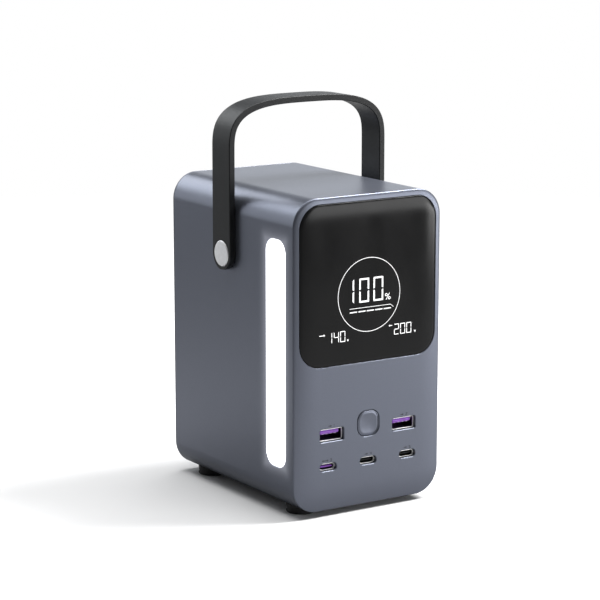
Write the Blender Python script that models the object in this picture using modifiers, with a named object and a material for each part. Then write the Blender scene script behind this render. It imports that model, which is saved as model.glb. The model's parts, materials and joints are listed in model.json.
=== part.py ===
"""A small battery power station: a box with a display, five sockets, a lamp strip and a carry handle.

Metres, +Z up. The origin is the middle of the footprint on the surface that the feet stand on.
The display faces -Y, the lamp is in the -X side, and the handle turns about an axis along X.
"""

import math

import bmesh
import bpy
from mathutils import Matrix

# ---- Driving dimensions -------------------------------------------------------------------------
BODY_WIDTH = 0.0835
BODY_DEPTH = 0.113
BODY_HEIGHT = 0.150
BODY_CORNER = 0.013  # radius of the four long edges
FOOT_HEIGHT = 0.003
FOOT_RECESS = 0.0018
WALL = 0.002
FIT = 0.0003  # gap between pieces that touch
THIN_FIT = 0.0001  # gap in stacks of thin flat pieces

# The front and rear faces are crowned: they fall away near the outline along a quarter of an ellipse.
CROWN_WIDTH = 0.009
CROWN_DROP = 0.0012
RIM_LAND = 0.0003
PANEL_THICKNESS = 0.0032
LIP_DEPTH = 0.0060
LIP_WALL = 0.0015
TAB_REACH = 0.0050  # how far the tabs under the floor's screws reach past them
WINDOW_DEPTH = 0.010  # thickness of the tools that cut right through a wall

LENS_INSET = 0.0030
LENS_BOTTOM = 0.0730
LENS_THICKNESS = 0.0014
DISPLAY_Z = 0.1060  # middle of the display behind the lens
DISPLAY_WIDTH = 0.0660
DISPLAY_HEIGHT = 0.0600

SOCKET_DEPTH = 0.0130
MOUTH_RECESS = 0.0004
USB_A = {"width": 0.0131, "height": 0.0057, "corner": 0.0008, "wall": 0.0003}
USB_A_BLADE = {"width": 0.0111, "thickness": 0.00184, "lift": 0.00105, "start": 0.0010}
USB_C = {"width": 0.00894, "height": 0.00326, "corner": 0.0016, "wall": 0.00028}
USB_C_BLADE = {"width": 0.0067, "thickness": 0.00070, "lift": 0.0, "start": 0.0012}
USB_A_X = 0.0208
USB_A_Z = 0.0398
USB_C_X = 0.0229
USB_C_Z = 0.0244

BUTTON_SIZE = 0.0123
BUTTON_CORNER = 0.0041
BUTTON_Z = 0.0427
BUTTON_TRAVEL = 0.0008

LAMP_WIDTH = 0.0176
LAMP_HEIGHT = 0.1096
LAMP_CORNER = 0.0066
LAMP_Y = -0.0394
LAMP_Z = 0.0784

STRAP_WIDTH = 0.0160
STRAP_THICKNESS = 0.0030
STRAP_GAP = 0.0004
ARCH_SPRING_Z = 0.1695  # where the straight arms turn into the arch
ARCH_TOP_Z = 0.1947
ARCH_POWER = 3.2  # exponent of the superellipse
PIVOT_Y = 0.0037
PIVOT_Z = 0.1203
CAP_RADIUS = 0.0063
WASHER_RADIUS = 0.0065
WEB_START = 0.0008  # the strap is thinner at its pivots: its web, as distances from the side wall
WEB_END = 0.0019

FOOT_RADIUS = 0.0072
FOOT_X = 0.0280
FOOT_FRONT_Y = -0.0405
FOOT_REAR_Y = 0.0418
FOOT_SCREW_HOLE = 0.0017  # radius

CELL_RADIUS = 0.0161  # 32700 lithium iron phosphate cell
CELL_LENGTH = 0.0705
CELL_PITCH = 0.0340
CELL_FRONT_Y = -0.01975
CELL_ROWS = 4

BOARD_THICKNESS = 0.0016
MAIN_BOARD_LEFT = -0.0310
MAIN_BOARD_RIGHT = 0.0350
MAIN_BOARD_BOTTOM = 0.0130
MAIN_BOARD_TOP = 0.1460
MAIN_SCREW_X = 0.0270
MAIN_SCREW_ZS = (0.0175, 0.1410)
POWER_BOARD_Y = -0.0267
POWER_BOARD_WIDTH = 0.074
POWER_BOARD_HEIGHT = 0.128

CORNER_STEPS = 6
SMALL_CORNER_STEPS = 3
ROUND_STEPS = 24

# ---- Derived places -----------------------------------------------------------------------------
FRONT = -BODY_DEPTH / 2
BASE = FOOT_HEIGHT
TOP = BASE + BODY_HEIGHT
MIDDLE_Z = (BASE + TOP) / 2
SIDE = BODY_WIDTH / 2
SEAM = CROWN_DROP + RIM_LAND  # depth of the panel's rim behind the face
PLUG_INSET = WALL + FIT
MOUTH_Y = FRONT + MOUTH_RECESS
SOCKET_BACK_Y = MOUTH_Y + SOCKET_DEPTH
BOARD_FRONT_Y = SOCKET_BACK_Y + FIT
LENS_WIDTH = BODY_WIDTH - 2 * LENS_INSET
LENS_HEIGHT = TOP - LENS_INSET - LENS_BOTTOM
LENS_Z = LENS_BOTTOM + LENS_HEIGHT / 2
LENS_CORNER = BODY_CORNER - LENS_INSET
RECESS_DEPTH = LENS_THICKNESS + 5 * THIN_FIT + FIT
STRAP_INNER = SIDE + STRAP_GAP
STRAP_OUTER = STRAP_INNER + STRAP_THICKNESS
CELL_BACK_Y = CELL_FRONT_Y + CELL_LENGTH

SOCKETS = (  # name, shell, blade, x, z, finish of the tongue
    ("usb_a_left", USB_A, USB_A_BLADE, -USB_A_X, USB_A_Z, "purple_plastic"),
    ("usb_a_right", USB_A, USB_A_BLADE, USB_A_X, USB_A_Z, "purple_plastic"),
    ("usb_c_left", USB_C, USB_C_BLADE, -USB_C_X, USB_C_Z, "purple_plastic"),
    ("usb_c_middle", USB_C, USB_C_BLADE, 0.0, USB_C_Z, "black_plastic"),
    ("usb_c_right", USB_C, USB_C_BLADE, USB_C_X, USB_C_Z, "black_plastic"),
)
FEET = (
    ("foot_front_left", -FOOT_X, FOOT_FRONT_Y),
    ("foot_front_right", FOOT_X, FOOT_FRONT_Y),
    ("foot_rear_left", -FOOT_X, FOOT_REAR_Y),
    ("foot_rear_right", FOOT_X, FOOT_REAR_Y),
)
POWER_POSTS = ((0, 0.0440), (0, 0.1120), (-0.0345, MIDDLE_Z), (0.0345, MIDDLE_Z))  # x, z
ENDS = (("left", "-X", -1), ("right", "+X", 1))  # label, outward direction, sign of x

# Exact quarter turns. An outline's (u, v, thickness) becomes (x, y, z) when it faces a direction.
FACING = {
    "front": Matrix(((1, 0, 0), (0, 0, -1), (0, 1, 0))),
    "side": Matrix(((0, 0, 1), (1, 0, 0), (0, 1, 0))),
}
# A rod's or turned piece's own Z becomes this direction.
ALONG = {
    "+X": Matrix(((0, 0, 1), (0, 1, 0), (-1, 0, 0))),
    "-X": Matrix(((0, 0, -1), (0, 1, 0), (1, 0, 0))),
    "+Y": Matrix(((1, 0, 0), (0, 0, 1), (0, -1, 0))),
    "-Y": Matrix(((1, 0, 0), (0, 0, -1), (0, 1, 0))),
    "+Z": Matrix.Identity(3),
}


# ---- Scene and materials ------------------------------------------------------------------------
def start_scene():
    """Empties the scene and makes one collection for the parts and one for the tools that shape them."""
    for obj in list(bpy.data.objects):
        bpy.data.objects.remove(obj, do_unlink=True)
    made = {}
    for name in ("power_station", "tools"):
        made[name] = bpy.data.collections.new(name)
        bpy.context.scene.collection.children.link(made[name])
    return made


COLLECTIONS = start_scene()

FINISHES = {
    "graphite_satin": ((0.150, 0.162, 0.200), 0.42, 0.35),
    "black_glass": ((0.010, 0.010, 0.011), 0.10, 0.0),
    "display_white": ((0.90, 0.92, 0.95), 0.40, 0.0),
    "lamp_white": ((0.95, 0.96, 0.98), 0.45, 0.0),
    "strap_black": ((0.020, 0.021, 0.022), 0.55, 0.0),
    "silver": ((0.62, 0.62, 0.63), 0.28, 1.0),
    "socket_steel": ((0.55, 0.55, 0.56), 0.25, 1.0),
    "purple_plastic": ((0.27, 0.07, 0.52), 0.40, 0.0),
    "black_plastic": ((0.012, 0.012, 0.013), 0.45, 0.0),
    "rubber_black": ((0.015, 0.015, 0.016), 0.80, 0.0),
    "board_green": ((0.010, 0.110, 0.050), 0.45, 0.0),
    "cell_wrap": ((0.030, 0.120, 0.420), 0.35, 0.0),
    "nickel": ((0.66, 0.63, 0.58), 0.30, 1.0),
    "screw_steel": ((0.40, 0.40, 0.41), 0.35, 1.0),
    "lead_red": ((0.55, 0.02, 0.02), 0.50, 0.0),
}


def finish_material(finish):
    """The Principled material of a finish, made once."""
    found = bpy.data.materials.get(finish)
    if found:
        return found
    colour, roughness, metallic = FINISHES[finish]
    made = bpy.data.materials.new(finish)
    made.use_nodes = True
    shader = made.node_tree.nodes["Principled BSDF"]
    shader.inputs["Base Color"].default_value = (*colour, 1.0)
    shader.inputs["Roughness"].default_value = roughness
    shader.inputs["Metallic"].default_value = metallic
    made.diffuse_color = (*colour, 1.0)
    return made


# ---- Shape helpers ------------------------------------------------------------------------------
def add_object(name, mesh, finish):
    """A mesh object in the parts' collection, shaded smooth except at its sharp edges."""
    mesh.materials.append(finish_material(finish))
    if mesh.polygons:
        mesh.shade_smooth()
        mesh.set_sharp_from_angle(angle=math.radians(35))
    obj = bpy.data.objects.new(name, mesh)
    COLLECTIONS["power_station"].objects.link(obj)
    return obj


def rounded_rect(width, height, radius, steps=CORNER_STEPS):
    """Points of a rounded rectangle about the origin, anticlockwise, with an arc at each corner."""
    points = []
    for quarter in range(4):
        centre_u = (width / 2 - radius) * (1 if quarter in (0, 3) else -1)
        centre_v = (height / 2 - radius) * (1 if quarter in (0, 1) else -1)
        for step in range(steps + 1):
            angle = math.pi / 2 * (quarter + step / steps)
            points.append((centre_u + radius * math.cos(angle), centre_v + radius * math.sin(angle)))
    return points


def circle(radius, centre=(0, 0), steps=ROUND_STEPS):
    """Points of a circle, anticlockwise."""
    turns = [2 * math.pi * step / steps for step in range(steps)]
    return [(centre[0] + radius * math.cos(turn), centre[1] + radius * math.sin(turn)) for turn in turns]


def body_outline(inset, steps=CORNER_STEPS):
    """The body's outline seen from the front, moved inwards."""
    return rounded_rect(BODY_WIDTH - 2 * inset, BODY_HEIGHT - 2 * inset, BODY_CORNER - inset, steps)


def plate(name, outlines, thickness, centre, facing, finish):
    """A flat piece from closed outlines: the first is its edge, the others are holes."""
    curve = bpy.data.curves.new(name, "CURVE")
    curve.dimensions = "2D"
    curve.fill_mode = "BOTH"
    curve.extrude = thickness / 2
    for outline in outlines:
        spline = curve.splines.new("POLY")
        spline.points.add(len(outline) - 1)
        spline.use_cyclic_u = True
        for point, (u, v) in zip(spline.points, outline):
            point.co = (u, v, 0, 1)
    return mesh_from_curve(name, curve, finish, centre, FACING[facing])


def mesh_from_curve(name, curve, finish, place=(0, 0, 0), turn=ALONG["+Z"]):
    """A mesh object made from a curve, turned and put in its place, with its caps welded."""
    drawn = bpy.data.objects.new(name + "_curve", curve)
    COLLECTIONS["tools"].objects.link(drawn)
    bpy.context.view_layer.update()
    graph = bpy.context.evaluated_depsgraph_get()
    mesh = bpy.data.meshes.new_from_object(drawn.evaluated_get(graph))
    mesh.name = name
    welded = bmesh.new()
    welded.from_mesh(mesh)
    bmesh.ops.remove_doubles(welded, verts=welded.verts, dist=1e-7)
    bmesh.ops.transform(welded, matrix=turn.to_4x4(), verts=welded.verts)
    bmesh.ops.recalc_face_normals(welded, faces=welded.faces)
    welded.to_mesh(mesh)
    welded.free()
    mesh.materials.clear()
    bpy.data.objects.remove(drawn, do_unlink=True)
    obj = add_object(name, mesh, finish)
    obj.location = place
    return obj


def loft(name, rings, finish):
    """A closed skin through rings of equally many points, with a flat face at each end."""
    shape = bmesh.new()
    made = [[shape.verts.new(point) for point in ring] for ring in rings]
    count = len(rings[0])
    for near, far in zip(made, made[1:]):
        for i in range(count):
            j = (i + 1) % count
            shape.faces.new((near[i], near[j], far[j], far[i]))
    shape.faces.new(made[0][::-1])
    shape.faces.new(made[-1])
    bmesh.ops.recalc_face_normals(shape, faces=shape.faces)
    mesh = bpy.data.meshes.new(name)
    shape.to_mesh(mesh)
    shape.free()
    return add_object(name, mesh, finish)


def front_ring(outline, y, centre=(0, 0)):
    """An outline stood up in a plane of constant y, about a centre given as (x, z)."""
    return [(centre[0] + u, y, centre[1] + v) for u, v in outline]


def side_ring(outline, x, centre):
    """An outline stood up in a plane of constant x, about a centre given as (y, z)."""
    return [(x, centre[0] + u, centre[1] + v) for u, v in outline]


def block(name, low, high, finish):
    """A box between two corners."""
    bpy.ops.mesh.primitive_cube_add(size=1)
    made = bpy.context.object
    mesh = made.data
    bpy.data.objects.remove(made, do_unlink=True)
    for vertex in mesh.vertices:
        vertex.co = [a + (b - a) * (share + 0.5) for a, b, share in zip(low, high, vertex.co)]
    return add_object(name, mesh, finish)


def turned(name, profile, place, along, finish, closed=False, steps=ROUND_STEPS):
    """A turned piece. Its (radius, height) points run down the outer side, from one end to the other."""
    edges = [(i, i + 1) for i in range(len(profile) - 1)]
    if closed:
        edges.append((len(profile) - 1, 0))
    mesh = bpy.data.meshes.new(name)
    mesh.from_pydata([(radius, 0, height) for radius, height in profile], edges, [])
    obj = add_object(name, mesh, finish)
    obj.location = place
    obj.rotation_euler = ALONG[along].to_euler()
    screw = obj.modifiers.new("turn", "SCREW")
    screw.steps = screw.render_steps = steps
    screw.use_merge_vertices = True
    screw.merge_threshold = 1e-5
    return obj


def rod(name, radius, start, length, along, finish="screw_steel", steps=ROUND_STEPS):
    """A plain cylinder that begins at a point and runs along an axis."""
    shape = bmesh.new()
    turn = ALONG[along].to_4x4() @ Matrix.Translation((0, 0, length / 2))
    size = {"segments": steps, "radius1": radius, "radius2": radius, "depth": length}
    bmesh.ops.create_cone(shape, cap_ends=True, matrix=turn, **size)
    mesh = bpy.data.meshes.new(name)
    shape.to_mesh(mesh)
    shape.free()
    obj = add_object(name, mesh, finish)
    obj.location = start
    return obj


def ride(name, place, pieces):
    """Parents pieces to an empty on their joint's axis, without moving them."""
    empty = bpy.data.objects.new(name, None)
    empty.location = place
    COLLECTIONS["power_station"].objects.link(empty)
    for piece in pieces:
        piece.parent = empty
        piece.location -= empty.location


def shape_with(target, tool, operation):
    """Adds or removes the tool's volume, and hides the tool."""
    tool.hide_render = True
    tool.display_type = "WIRE"
    COLLECTIONS["power_station"].objects.unlink(tool)
    COLLECTIONS["tools"].objects.link(tool)
    modifier = target.modifiers.new(tool.name, "BOOLEAN")
    modifier.operation = operation
    modifier.object = tool


def cut(target, tool):
    shape_with(target, tool, "DIFFERENCE")


def fuse(target, tool):
    shape_with(target, tool, "UNION")


# ---- Casing -------------------------------------------------------------------------------------
def depth_inside(x, z):
    """How far a point seen from the front lies inside the body's outline."""
    over_x = abs(x) - (BODY_WIDTH / 2 - BODY_CORNER)
    over_z = abs(z - MIDDLE_Z) - (BODY_HEIGHT / 2 - BODY_CORNER)
    if over_x > 0 and over_z > 0:
        return BODY_CORNER - math.hypot(over_x, over_z)
    return BODY_CORNER - max(over_x, over_z)


def crown_drop(inset):
    """How far the crowned face lies behind its flat middle, at a distance inside the outline."""
    across = max(0.0, 1 - inset / CROWN_WIDTH)
    return CROWN_DROP * (1 - math.sqrt(1 - across * across))


def end_panel(name, towards, crown_steps=4):
    """A closed end of the casing: a crowned plate, a plug inside the sleeve and a thin lip.

    towards is -1 for the front and 1 for the rear.
    """

    def ring(inset, depth):
        return front_ring(body_outline(inset), towards * (BODY_DEPTH / 2 - depth), (0, MIDDLE_Z))

    lip_outer = PLUG_INSET + THIN_FIT
    rings = [
        ring(lip_outer + LIP_WALL, PANEL_THICKNESS),
        ring(lip_outer + LIP_WALL, LIP_DEPTH),
        ring(lip_outer, LIP_DEPTH),
        ring(lip_outer, PANEL_THICKNESS),
        ring(PLUG_INSET, PANEL_THICKNESS),
        ring(PLUG_INSET, SEAM),
        ring(0, SEAM),
    ]
    for step in range(crown_steps + 1):
        angle = math.pi / 2 * step / crown_steps
        rings.append(ring(CROWN_WIDTH * (1 - math.cos(angle)), CROWN_DROP * (1 - math.sin(angle))))
    return loft(name, rings, "graphite_satin")


def screw_tabs(panel, screw_y, end_y):
    """Two tabs along the floor of the sleeve, which the screws under the feet hold."""
    tab_bottom = BASE + 0.0032
    tab_top = tab_bottom + 0.0050
    pilot_depth = 0.0040
    overshoot = 0.0010
    start_y = math.copysign(BODY_DEPTH / 2 - PANEL_THICKNESS + WALL / 4, screw_y)
    low_y, high_y = sorted((start_y, end_y))
    for label, _, sign in ENDS:
        low_x, high_x = sorted((sign * (FOOT_X - 0.005), sign * (FOOT_X + 0.004)))
        name = f"{panel.name}_tab_{label}"
        fuse(panel, block(name, (low_x, low_y, tab_bottom), (high_x, high_y, tab_top), "graphite_satin"))
        start = (sign * FOOT_X, screw_y, tab_bottom - overshoot)
        cut(panel, rod(name + "_pilot", FOOT_SCREW_HOLE, start, pilot_depth + overshoot, "+Z", steps=16))


def main_screw_places():
    """(name, x, z) of each screw that holds the main board to the front panel."""
    places = []
    for label, _, sign in ENDS:
        for level, z in zip(("low", "high"), MAIN_SCREW_ZS):
            places.append((f"board_screw_{label}_{level}", sign * MAIN_SCREW_X, z))
    return places


def build_front_panel():
    panel = end_panel("front_panel", -1)
    screw_tabs(panel, FOOT_FRONT_Y, FOOT_FRONT_Y + TAB_REACH)

    recess = rounded_rect(LENS_WIDTH + 2 * FIT, LENS_HEIGHT + 2 * FIT, LENS_CORNER + FIT)
    recess_tool = 0.004
    place = (0, FRONT + RECESS_DEPTH - recess_tool / 2, LENS_Z)
    cut(panel, plate("lens_recess", [recess], recess_tool, place, "front", "graphite_satin"))

    button = rounded_rect(BUTTON_SIZE + 2 * FIT, BUTTON_SIZE + 2 * FIT, BUTTON_CORNER + FIT)
    display = rounded_rect(DISPLAY_WIDTH, DISPLAY_HEIGHT, 0.002, SMALL_CORNER_STEPS)
    windows = [
        ("display_window", display, 0, DISPLAY_Z),
        ("button_hole", button, 0, BUTTON_Z),
    ]
    for name, shell, _, x, z, _ in SOCKETS:
        width, height, corner = shell["width"] + 2 * FIT, shell["height"] + 2 * FIT, shell["corner"] + FIT
        windows.append((name + "_hole", rounded_rect(width, height, corner, SMALL_CORNER_STEPS), x, z))
    for name, outline, x, z in windows:
        cut(panel, plate(name, [outline], WINDOW_DEPTH, (x, FRONT + 0.003, z), "front", "graphite_satin"))

    boss_start = FRONT + PANEL_THICKNESS - WALL / 4
    boss_length = BOARD_FRONT_Y - FIT - boss_start
    pilot_start = FRONT + PANEL_THICKNESS + 0.0010
    for name, x, z in main_screw_places():
        boss = "boss_" + name
        fuse(panel, rod(boss, 0.0030, (x, boss_start, z), boss_length, "+Y", steps=16))
        cut(panel, rod(boss + "_pilot", 0.0015, (x, pilot_start, z), 0.012, "+Y", steps=12))


def build_rear_cover():
    cover = end_panel("rear_cover", 1)
    screw_tabs(cover, FOOT_REAR_Y, FOOT_REAR_Y - TAB_REACH)


def build_housing_sleeve():
    """The tube that forms the top, the sides and the floor, open at both ends."""
    length = BODY_DEPTH - 2 * (SEAM + FIT)
    walls = [body_outline(0), body_outline(WALL)]
    sleeve = plate("housing_sleeve", walls, length, (0, 0, MIDDLE_Z), "front", "graphite_satin")

    window = rounded_rect(LAMP_WIDTH, LAMP_HEIGHT, LAMP_CORNER)
    cut(sleeve, plate("lamp_window", [window], 0.008, (-SIDE, LAMP_Y, LAMP_Z), "side", "graphite_satin"))

    boss_length = 0.0055
    for label, along, sign in ENDS:
        boss_start = (sign * (SIDE - boss_length - WALL / 2), PIVOT_Y, PIVOT_Z)
        fuse(sleeve, rod(f"pivot_boss_{label}", 0.0055, boss_start, boss_length, along))
    for label, along, sign in ENDS:
        hole_start = (sign * (SIDE - 0.010), PIVOT_Y, PIVOT_Z)
        cut(sleeve, rod(f"pivot_hole_{label}", 0.0022, hole_start, 0.015, along, steps=16))

    for name, x, y in FEET:
        fuse(sleeve, rod(name + "_pad", FOOT_RADIUS + 0.0012, (x, y, BASE + WALL / 2), WALL, "+Z"))
    overshoot = 0.002
    for name, x, y in FEET:
        start = (x, y, BASE - overshoot)
        cut(sleeve, rod(name + "_recess", FOOT_RADIUS + THIN_FIT, start, overshoot + FOOT_RECESS, "+Z"))
        cut(sleeve, rod(name + "_screw_hole", FOOT_SCREW_HOLE, start, overshoot + 0.006, "+Z", steps=16))


def build_feet_and_screws():
    """Rubber feet, each hiding one screw that holds the sleeve to a panel."""
    foot_top = FOOT_HEIGHT + FOOT_RECESS - THIN_FIT
    foot = [(0, 0.0012), (0.0034, 0.0012), (0.0034, foot_top), (FOOT_RADIUS, foot_top)]
    foot += [(FOOT_RADIUS, 0.0008), (FOOT_RADIUS - 0.0002, 0.0003), (FOOT_RADIUS - 0.0007, 0), (0, 0)]
    screw = [(0, 0.0066), (0.0010, 0.0066), (0.0014, 0.0061), (0.0014, 0.0014)]
    screw += [(0.0028, 0.0014), (0.0028, 0.0003), (0.0024, 0), (0, 0)]
    for name, x, y in FEET:
        turned(name, foot, (x, y, 0), "+Z", "rubber_black")
        screw_name = name.replace("foot", "housing_screw")
        turned(screw_name, screw, (x, y, FOOT_HEIGHT + 2 * THIN_FIT), "+Z", "screw_steel", steps=12)


# ---- Front: display, button and sockets ---------------------------------------------------------
def build_display():
    """The black lens, which follows the crowned face, its adhesive frame and the module behind it."""
    back = FRONT + LENS_THICKNESS
    rings = [front_ring(rounded_rect(LENS_WIDTH, LENS_HEIGHT, LENS_CORNER), back, (0, LENS_Z))]
    for inset, edge_break in ((0, 0.00015), (0.0004, 0), (0.0016, 0), (0.0035, 0), (0.0058, 0)):
        outline = rounded_rect(LENS_WIDTH - 2 * inset, LENS_HEIGHT - 2 * inset, LENS_CORNER - inset)
        ring = front_ring(outline, FRONT, (0, LENS_Z))
        rings.append([(x, y + crown_drop(depth_inside(x, z)) + edge_break, z) for x, y, z in ring])
    loft("display_lens", rings, "black_glass")

    gasket_thickness = 0.0003
    gasket_y = back + THIN_FIT + gasket_thickness / 2
    gasket_outer = rounded_rect(LENS_WIDTH - 0.001, LENS_HEIGHT - 0.001, LENS_CORNER - 0.0005)
    gasket_inner = rounded_rect(DISPLAY_WIDTH + 0.0015, DISPLAY_HEIGHT + 0.0015, 0.003)
    shift = DISPLAY_Z - LENS_Z
    gasket_inner = [(u, v + shift) for u, v in gasket_inner]
    outlines = [gasket_outer, gasket_inner]
    plate("lens_gasket", outlines, gasket_thickness, (0, gasket_y, LENS_Z), "front", "black_plastic")

    module_thickness = 0.004
    module = rounded_rect(DISPLAY_WIDTH - 2 * FIT, DISPLAY_HEIGHT - 2 * FIT, 0.0015, SMALL_CORNER_STEPS)
    centre = (0, back + 2 * THIN_FIT + module_thickness / 2, DISPLAY_Z)
    plate("display_module", [module], module_thickness, centre, "front", "display_white")


def build_button():
    """The power button with its flange and stem, and the switch that it presses."""
    centre = (0, BUTTON_Z)
    flange_front = PANEL_THICKNESS + FIT
    flange_back = 0.0045
    stem_end = 0.0064
    sections = [  # size, corner radius, depth behind the front plane
        (0.0040, 0.0019, stem_end),
        (0.0040, 0.0019, flange_back + THIN_FIT),
        (0.0154, 0.0050, flange_back),
        (0.0154, 0.0050, flange_front),
        (BUTTON_SIZE, BUTTON_CORNER, flange_front),
        (BUTTON_SIZE, BUTTON_CORNER, 0.0006),
        (BUTTON_SIZE - 0.0002, BUTTON_CORNER - 0.0001, 0.0003),
        (BUTTON_SIZE - 0.0008, BUTTON_CORNER - 0.0004, 0.00015),
    ]
    rings = []
    for size, corner, depth in sections:
        rings.append(front_ring(rounded_rect(size, size, corner), FRONT + depth, centre))
    button = loft("power_button", rings, "graphite_satin")

    switch_front = BOARD_FRONT_Y - 0.0038
    switch_back = BOARD_FRONT_Y - FIT / 2
    body = rounded_rect(0.006, 0.006, 0.0005, SMALL_CORNER_STEPS)
    thickness = switch_back - switch_front
    middle = (0, (switch_front + switch_back) / 2, BUTTON_Z)
    switch = plate("button_switch", [body], thickness, middle, "front", "black_plastic")

    plunger_start = FRONT + stem_end + THIN_FIT
    plunger_end = switch_front + 0.0012
    overshoot = 0.001
    well_length = plunger_end + BUTTON_TRAVEL + FIT - switch_front + overshoot
    well_start = (0, switch_front - overshoot, BUTTON_Z)
    cut(switch, rod("switch_well", 0.0021, well_start, well_length, "+Y", "black_plastic"))
    place = (0, plunger_start, BUTTON_Z)
    length = plunger_end - plunger_start
    plunger = rod("switch_plunger", 0.0016, place, length, "+Y", "black_plastic", steps=16)
    ride("button_slide", (0, FRONT, BUTTON_Z), (button, plunger))


def build_socket(name, shell, blade, x, z, tongue_finish):
    """A metal shell, open at its mouth, and the plastic tongue inside it."""
    width, height, corner, wall = shell["width"], shell["height"], shell["corner"], shell["wall"]
    outer = rounded_rect(width, height, corner, SMALL_CORNER_STEPS)
    inner = rounded_rect(width - 2 * wall, height - 2 * wall, corner - wall, SMALL_CORNER_STEPS)
    floor = SOCKET_BACK_Y - 2 * wall
    rings = [
        front_ring(outer, SOCKET_BACK_Y, (x, z)),
        front_ring(outer, MOUTH_Y, (x, z)),
        front_ring(inner, MOUTH_Y, (x, z)),
        front_ring(inner, floor, (x, z)),
    ]
    loft(name + "_shell", rings, "socket_steel")

    gap = wall + THIN_FIT
    base = rounded_rect(width - 2 * gap, height - 2 * gap, corner - gap, SMALL_CORNER_STEPS)
    ends = (floor - 0.0030, floor - THIN_FIT)
    tongue = loft(name + "_tongue", [front_ring(base, y, (x, z)) for y in ends], tongue_finish)
    half_width, half_thickness, middle = blade["width"] / 2, blade["thickness"] / 2, z + blade["lift"]
    low = (x - half_width, MOUTH_Y + blade["start"], middle - half_thickness)
    high = (x + half_width, floor - 0.0010, middle + half_thickness)
    fuse(tongue, block(name + "_blade", low, high, tongue_finish))


# ---- Lamp ---------------------------------------------------------------------------------------
def build_lamp():
    """Diffuser, white reflector frame and the strip of light-emitting diodes, behind the left wall."""
    centre = (LAMP_Y, LAMP_Z)
    inside = -SIDE + WALL + FIT
    face = -SIDE + 0.0001
    width, height, corner = LAMP_WIDTH - 2 * 0.0002, LAMP_HEIGHT - 2 * 0.0002, LAMP_CORNER - 0.0002
    sections = [
        (width + 0.0030, height + 0.0030, corner + 0.0015, inside + 0.0012),
        (width + 0.0030, height + 0.0030, corner + 0.0015, inside),
        (width, height, corner, inside),
        (width, height, corner, face + 0.0003),
        (width - 0.0006, height - 0.0006, corner - 0.0003, face),
    ]
    rings = [side_ring(rounded_rect(w, h, r), x, centre) for w, h, r, x in sections]
    loft("lamp_lens", rings, "lamp_white")

    reflector_x = inside + 0.0012 + FIT + 0.0011
    reflector = [rounded_rect(0.0190, 0.1110, 0.0070), rounded_rect(0.0156, 0.1076, 0.0053)]
    plate("lamp_reflector", reflector, 0.0022, (reflector_x, LAMP_Y, LAMP_Z), "side", "lamp_white")

    board_x = reflector_x + 0.0011 + FIT + 0.0005
    board = rounded_rect(0.0180, 0.1100, 0.0015, SMALL_CORNER_STEPS)
    strip = plate("lamp_board", [board], 0.0010, (board_x, LAMP_Y, LAMP_Z), "side", "lamp_white")
    diodes = 10
    pitch = 0.0104
    for number in range(diodes):
        z = LAMP_Z + (number - (diodes - 1) / 2) * pitch
        low = (board_x - 0.0012, LAMP_Y - 0.0014, z - 0.0014)
        high = (board_x, LAMP_Y + 0.0014, z + 0.0014)
        fuse(strip, block(f"diode_{number}", low, high, "lamp_white"))


# ---- Handle -------------------------------------------------------------------------------------
def arch(half_width, top_z, foot_z, steps=14):
    """Front view of one face of the strap, up the right arm, over the superellipse and down the left arm."""
    rise = top_z - ARCH_SPRING_Z
    points = [(half_width, foot_z)]
    for step in range(2 * steps + 1):
        angle = math.pi * step / (2 * steps)
        across, up = math.cos(angle), math.sin(angle)
        x = math.copysign(half_width * abs(across) ** (2 / ARCH_POWER), across)
        points.append((x, ARCH_SPRING_Z + rise * max(0.0, up) ** (2 / ARCH_POWER)))
    points.append((-half_width, foot_z))
    return points


def build_handle():
    foot_z = PIVOT_Z - STRAP_WIDTH / 2 - 0.002
    outer = arch(STRAP_OUTER, ARCH_TOP_Z, foot_z)
    inner = arch(STRAP_INNER, ARCH_TOP_Z - STRAP_THICKNESS, foot_z)
    band = outer + inner[::-1]
    strap = plate("handle_strap", [band], STRAP_WIDTH + 0.004, (0, PIVOT_Y, 0), "front", "strap_black")

    side_top = ARCH_TOP_Z + 0.010
    half = STRAP_WIDTH / 2
    turns = [math.pi * (1 + step / 16) for step in range(17)]
    side_view = [(half * math.cos(turn), PIVOT_Z + half * math.sin(turn)) for turn in turns]
    side_view += [(half, side_top), (-half, side_top)]
    profile = plate("strap_side_view", [side_view], 0.110, (0, PIVOT_Y, 0), "side", "strap_black")
    shape_with(strap, profile, "INTERSECT")

    caps = []
    for label, along, sign in ENDS:
        tools = [  # name, radius and the distances from the side wall between which it cuts
            ("shoulder_hole", 0.0033, -0.003, 0.007),
            ("washer_recess", WASHER_RADIUS + 2 * THIN_FIT, -0.003, WEB_START),
            ("cap_recess", CAP_RADIUS + 2 * THIN_FIT, WEB_END, 0.008),
        ]
        for name, radius, start, end in tools:
            place = (sign * (SIDE + start), PIVOT_Y, PIVOT_Z)
            cut(strap, rod(f"{name}_{label}", radius, place, end - start, along))
        caps.append(build_pivot(label, along, sign))
    ride("handle_pivot", (0, PIVOT_Y, PIVOT_Z), [strap, *caps])


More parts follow.
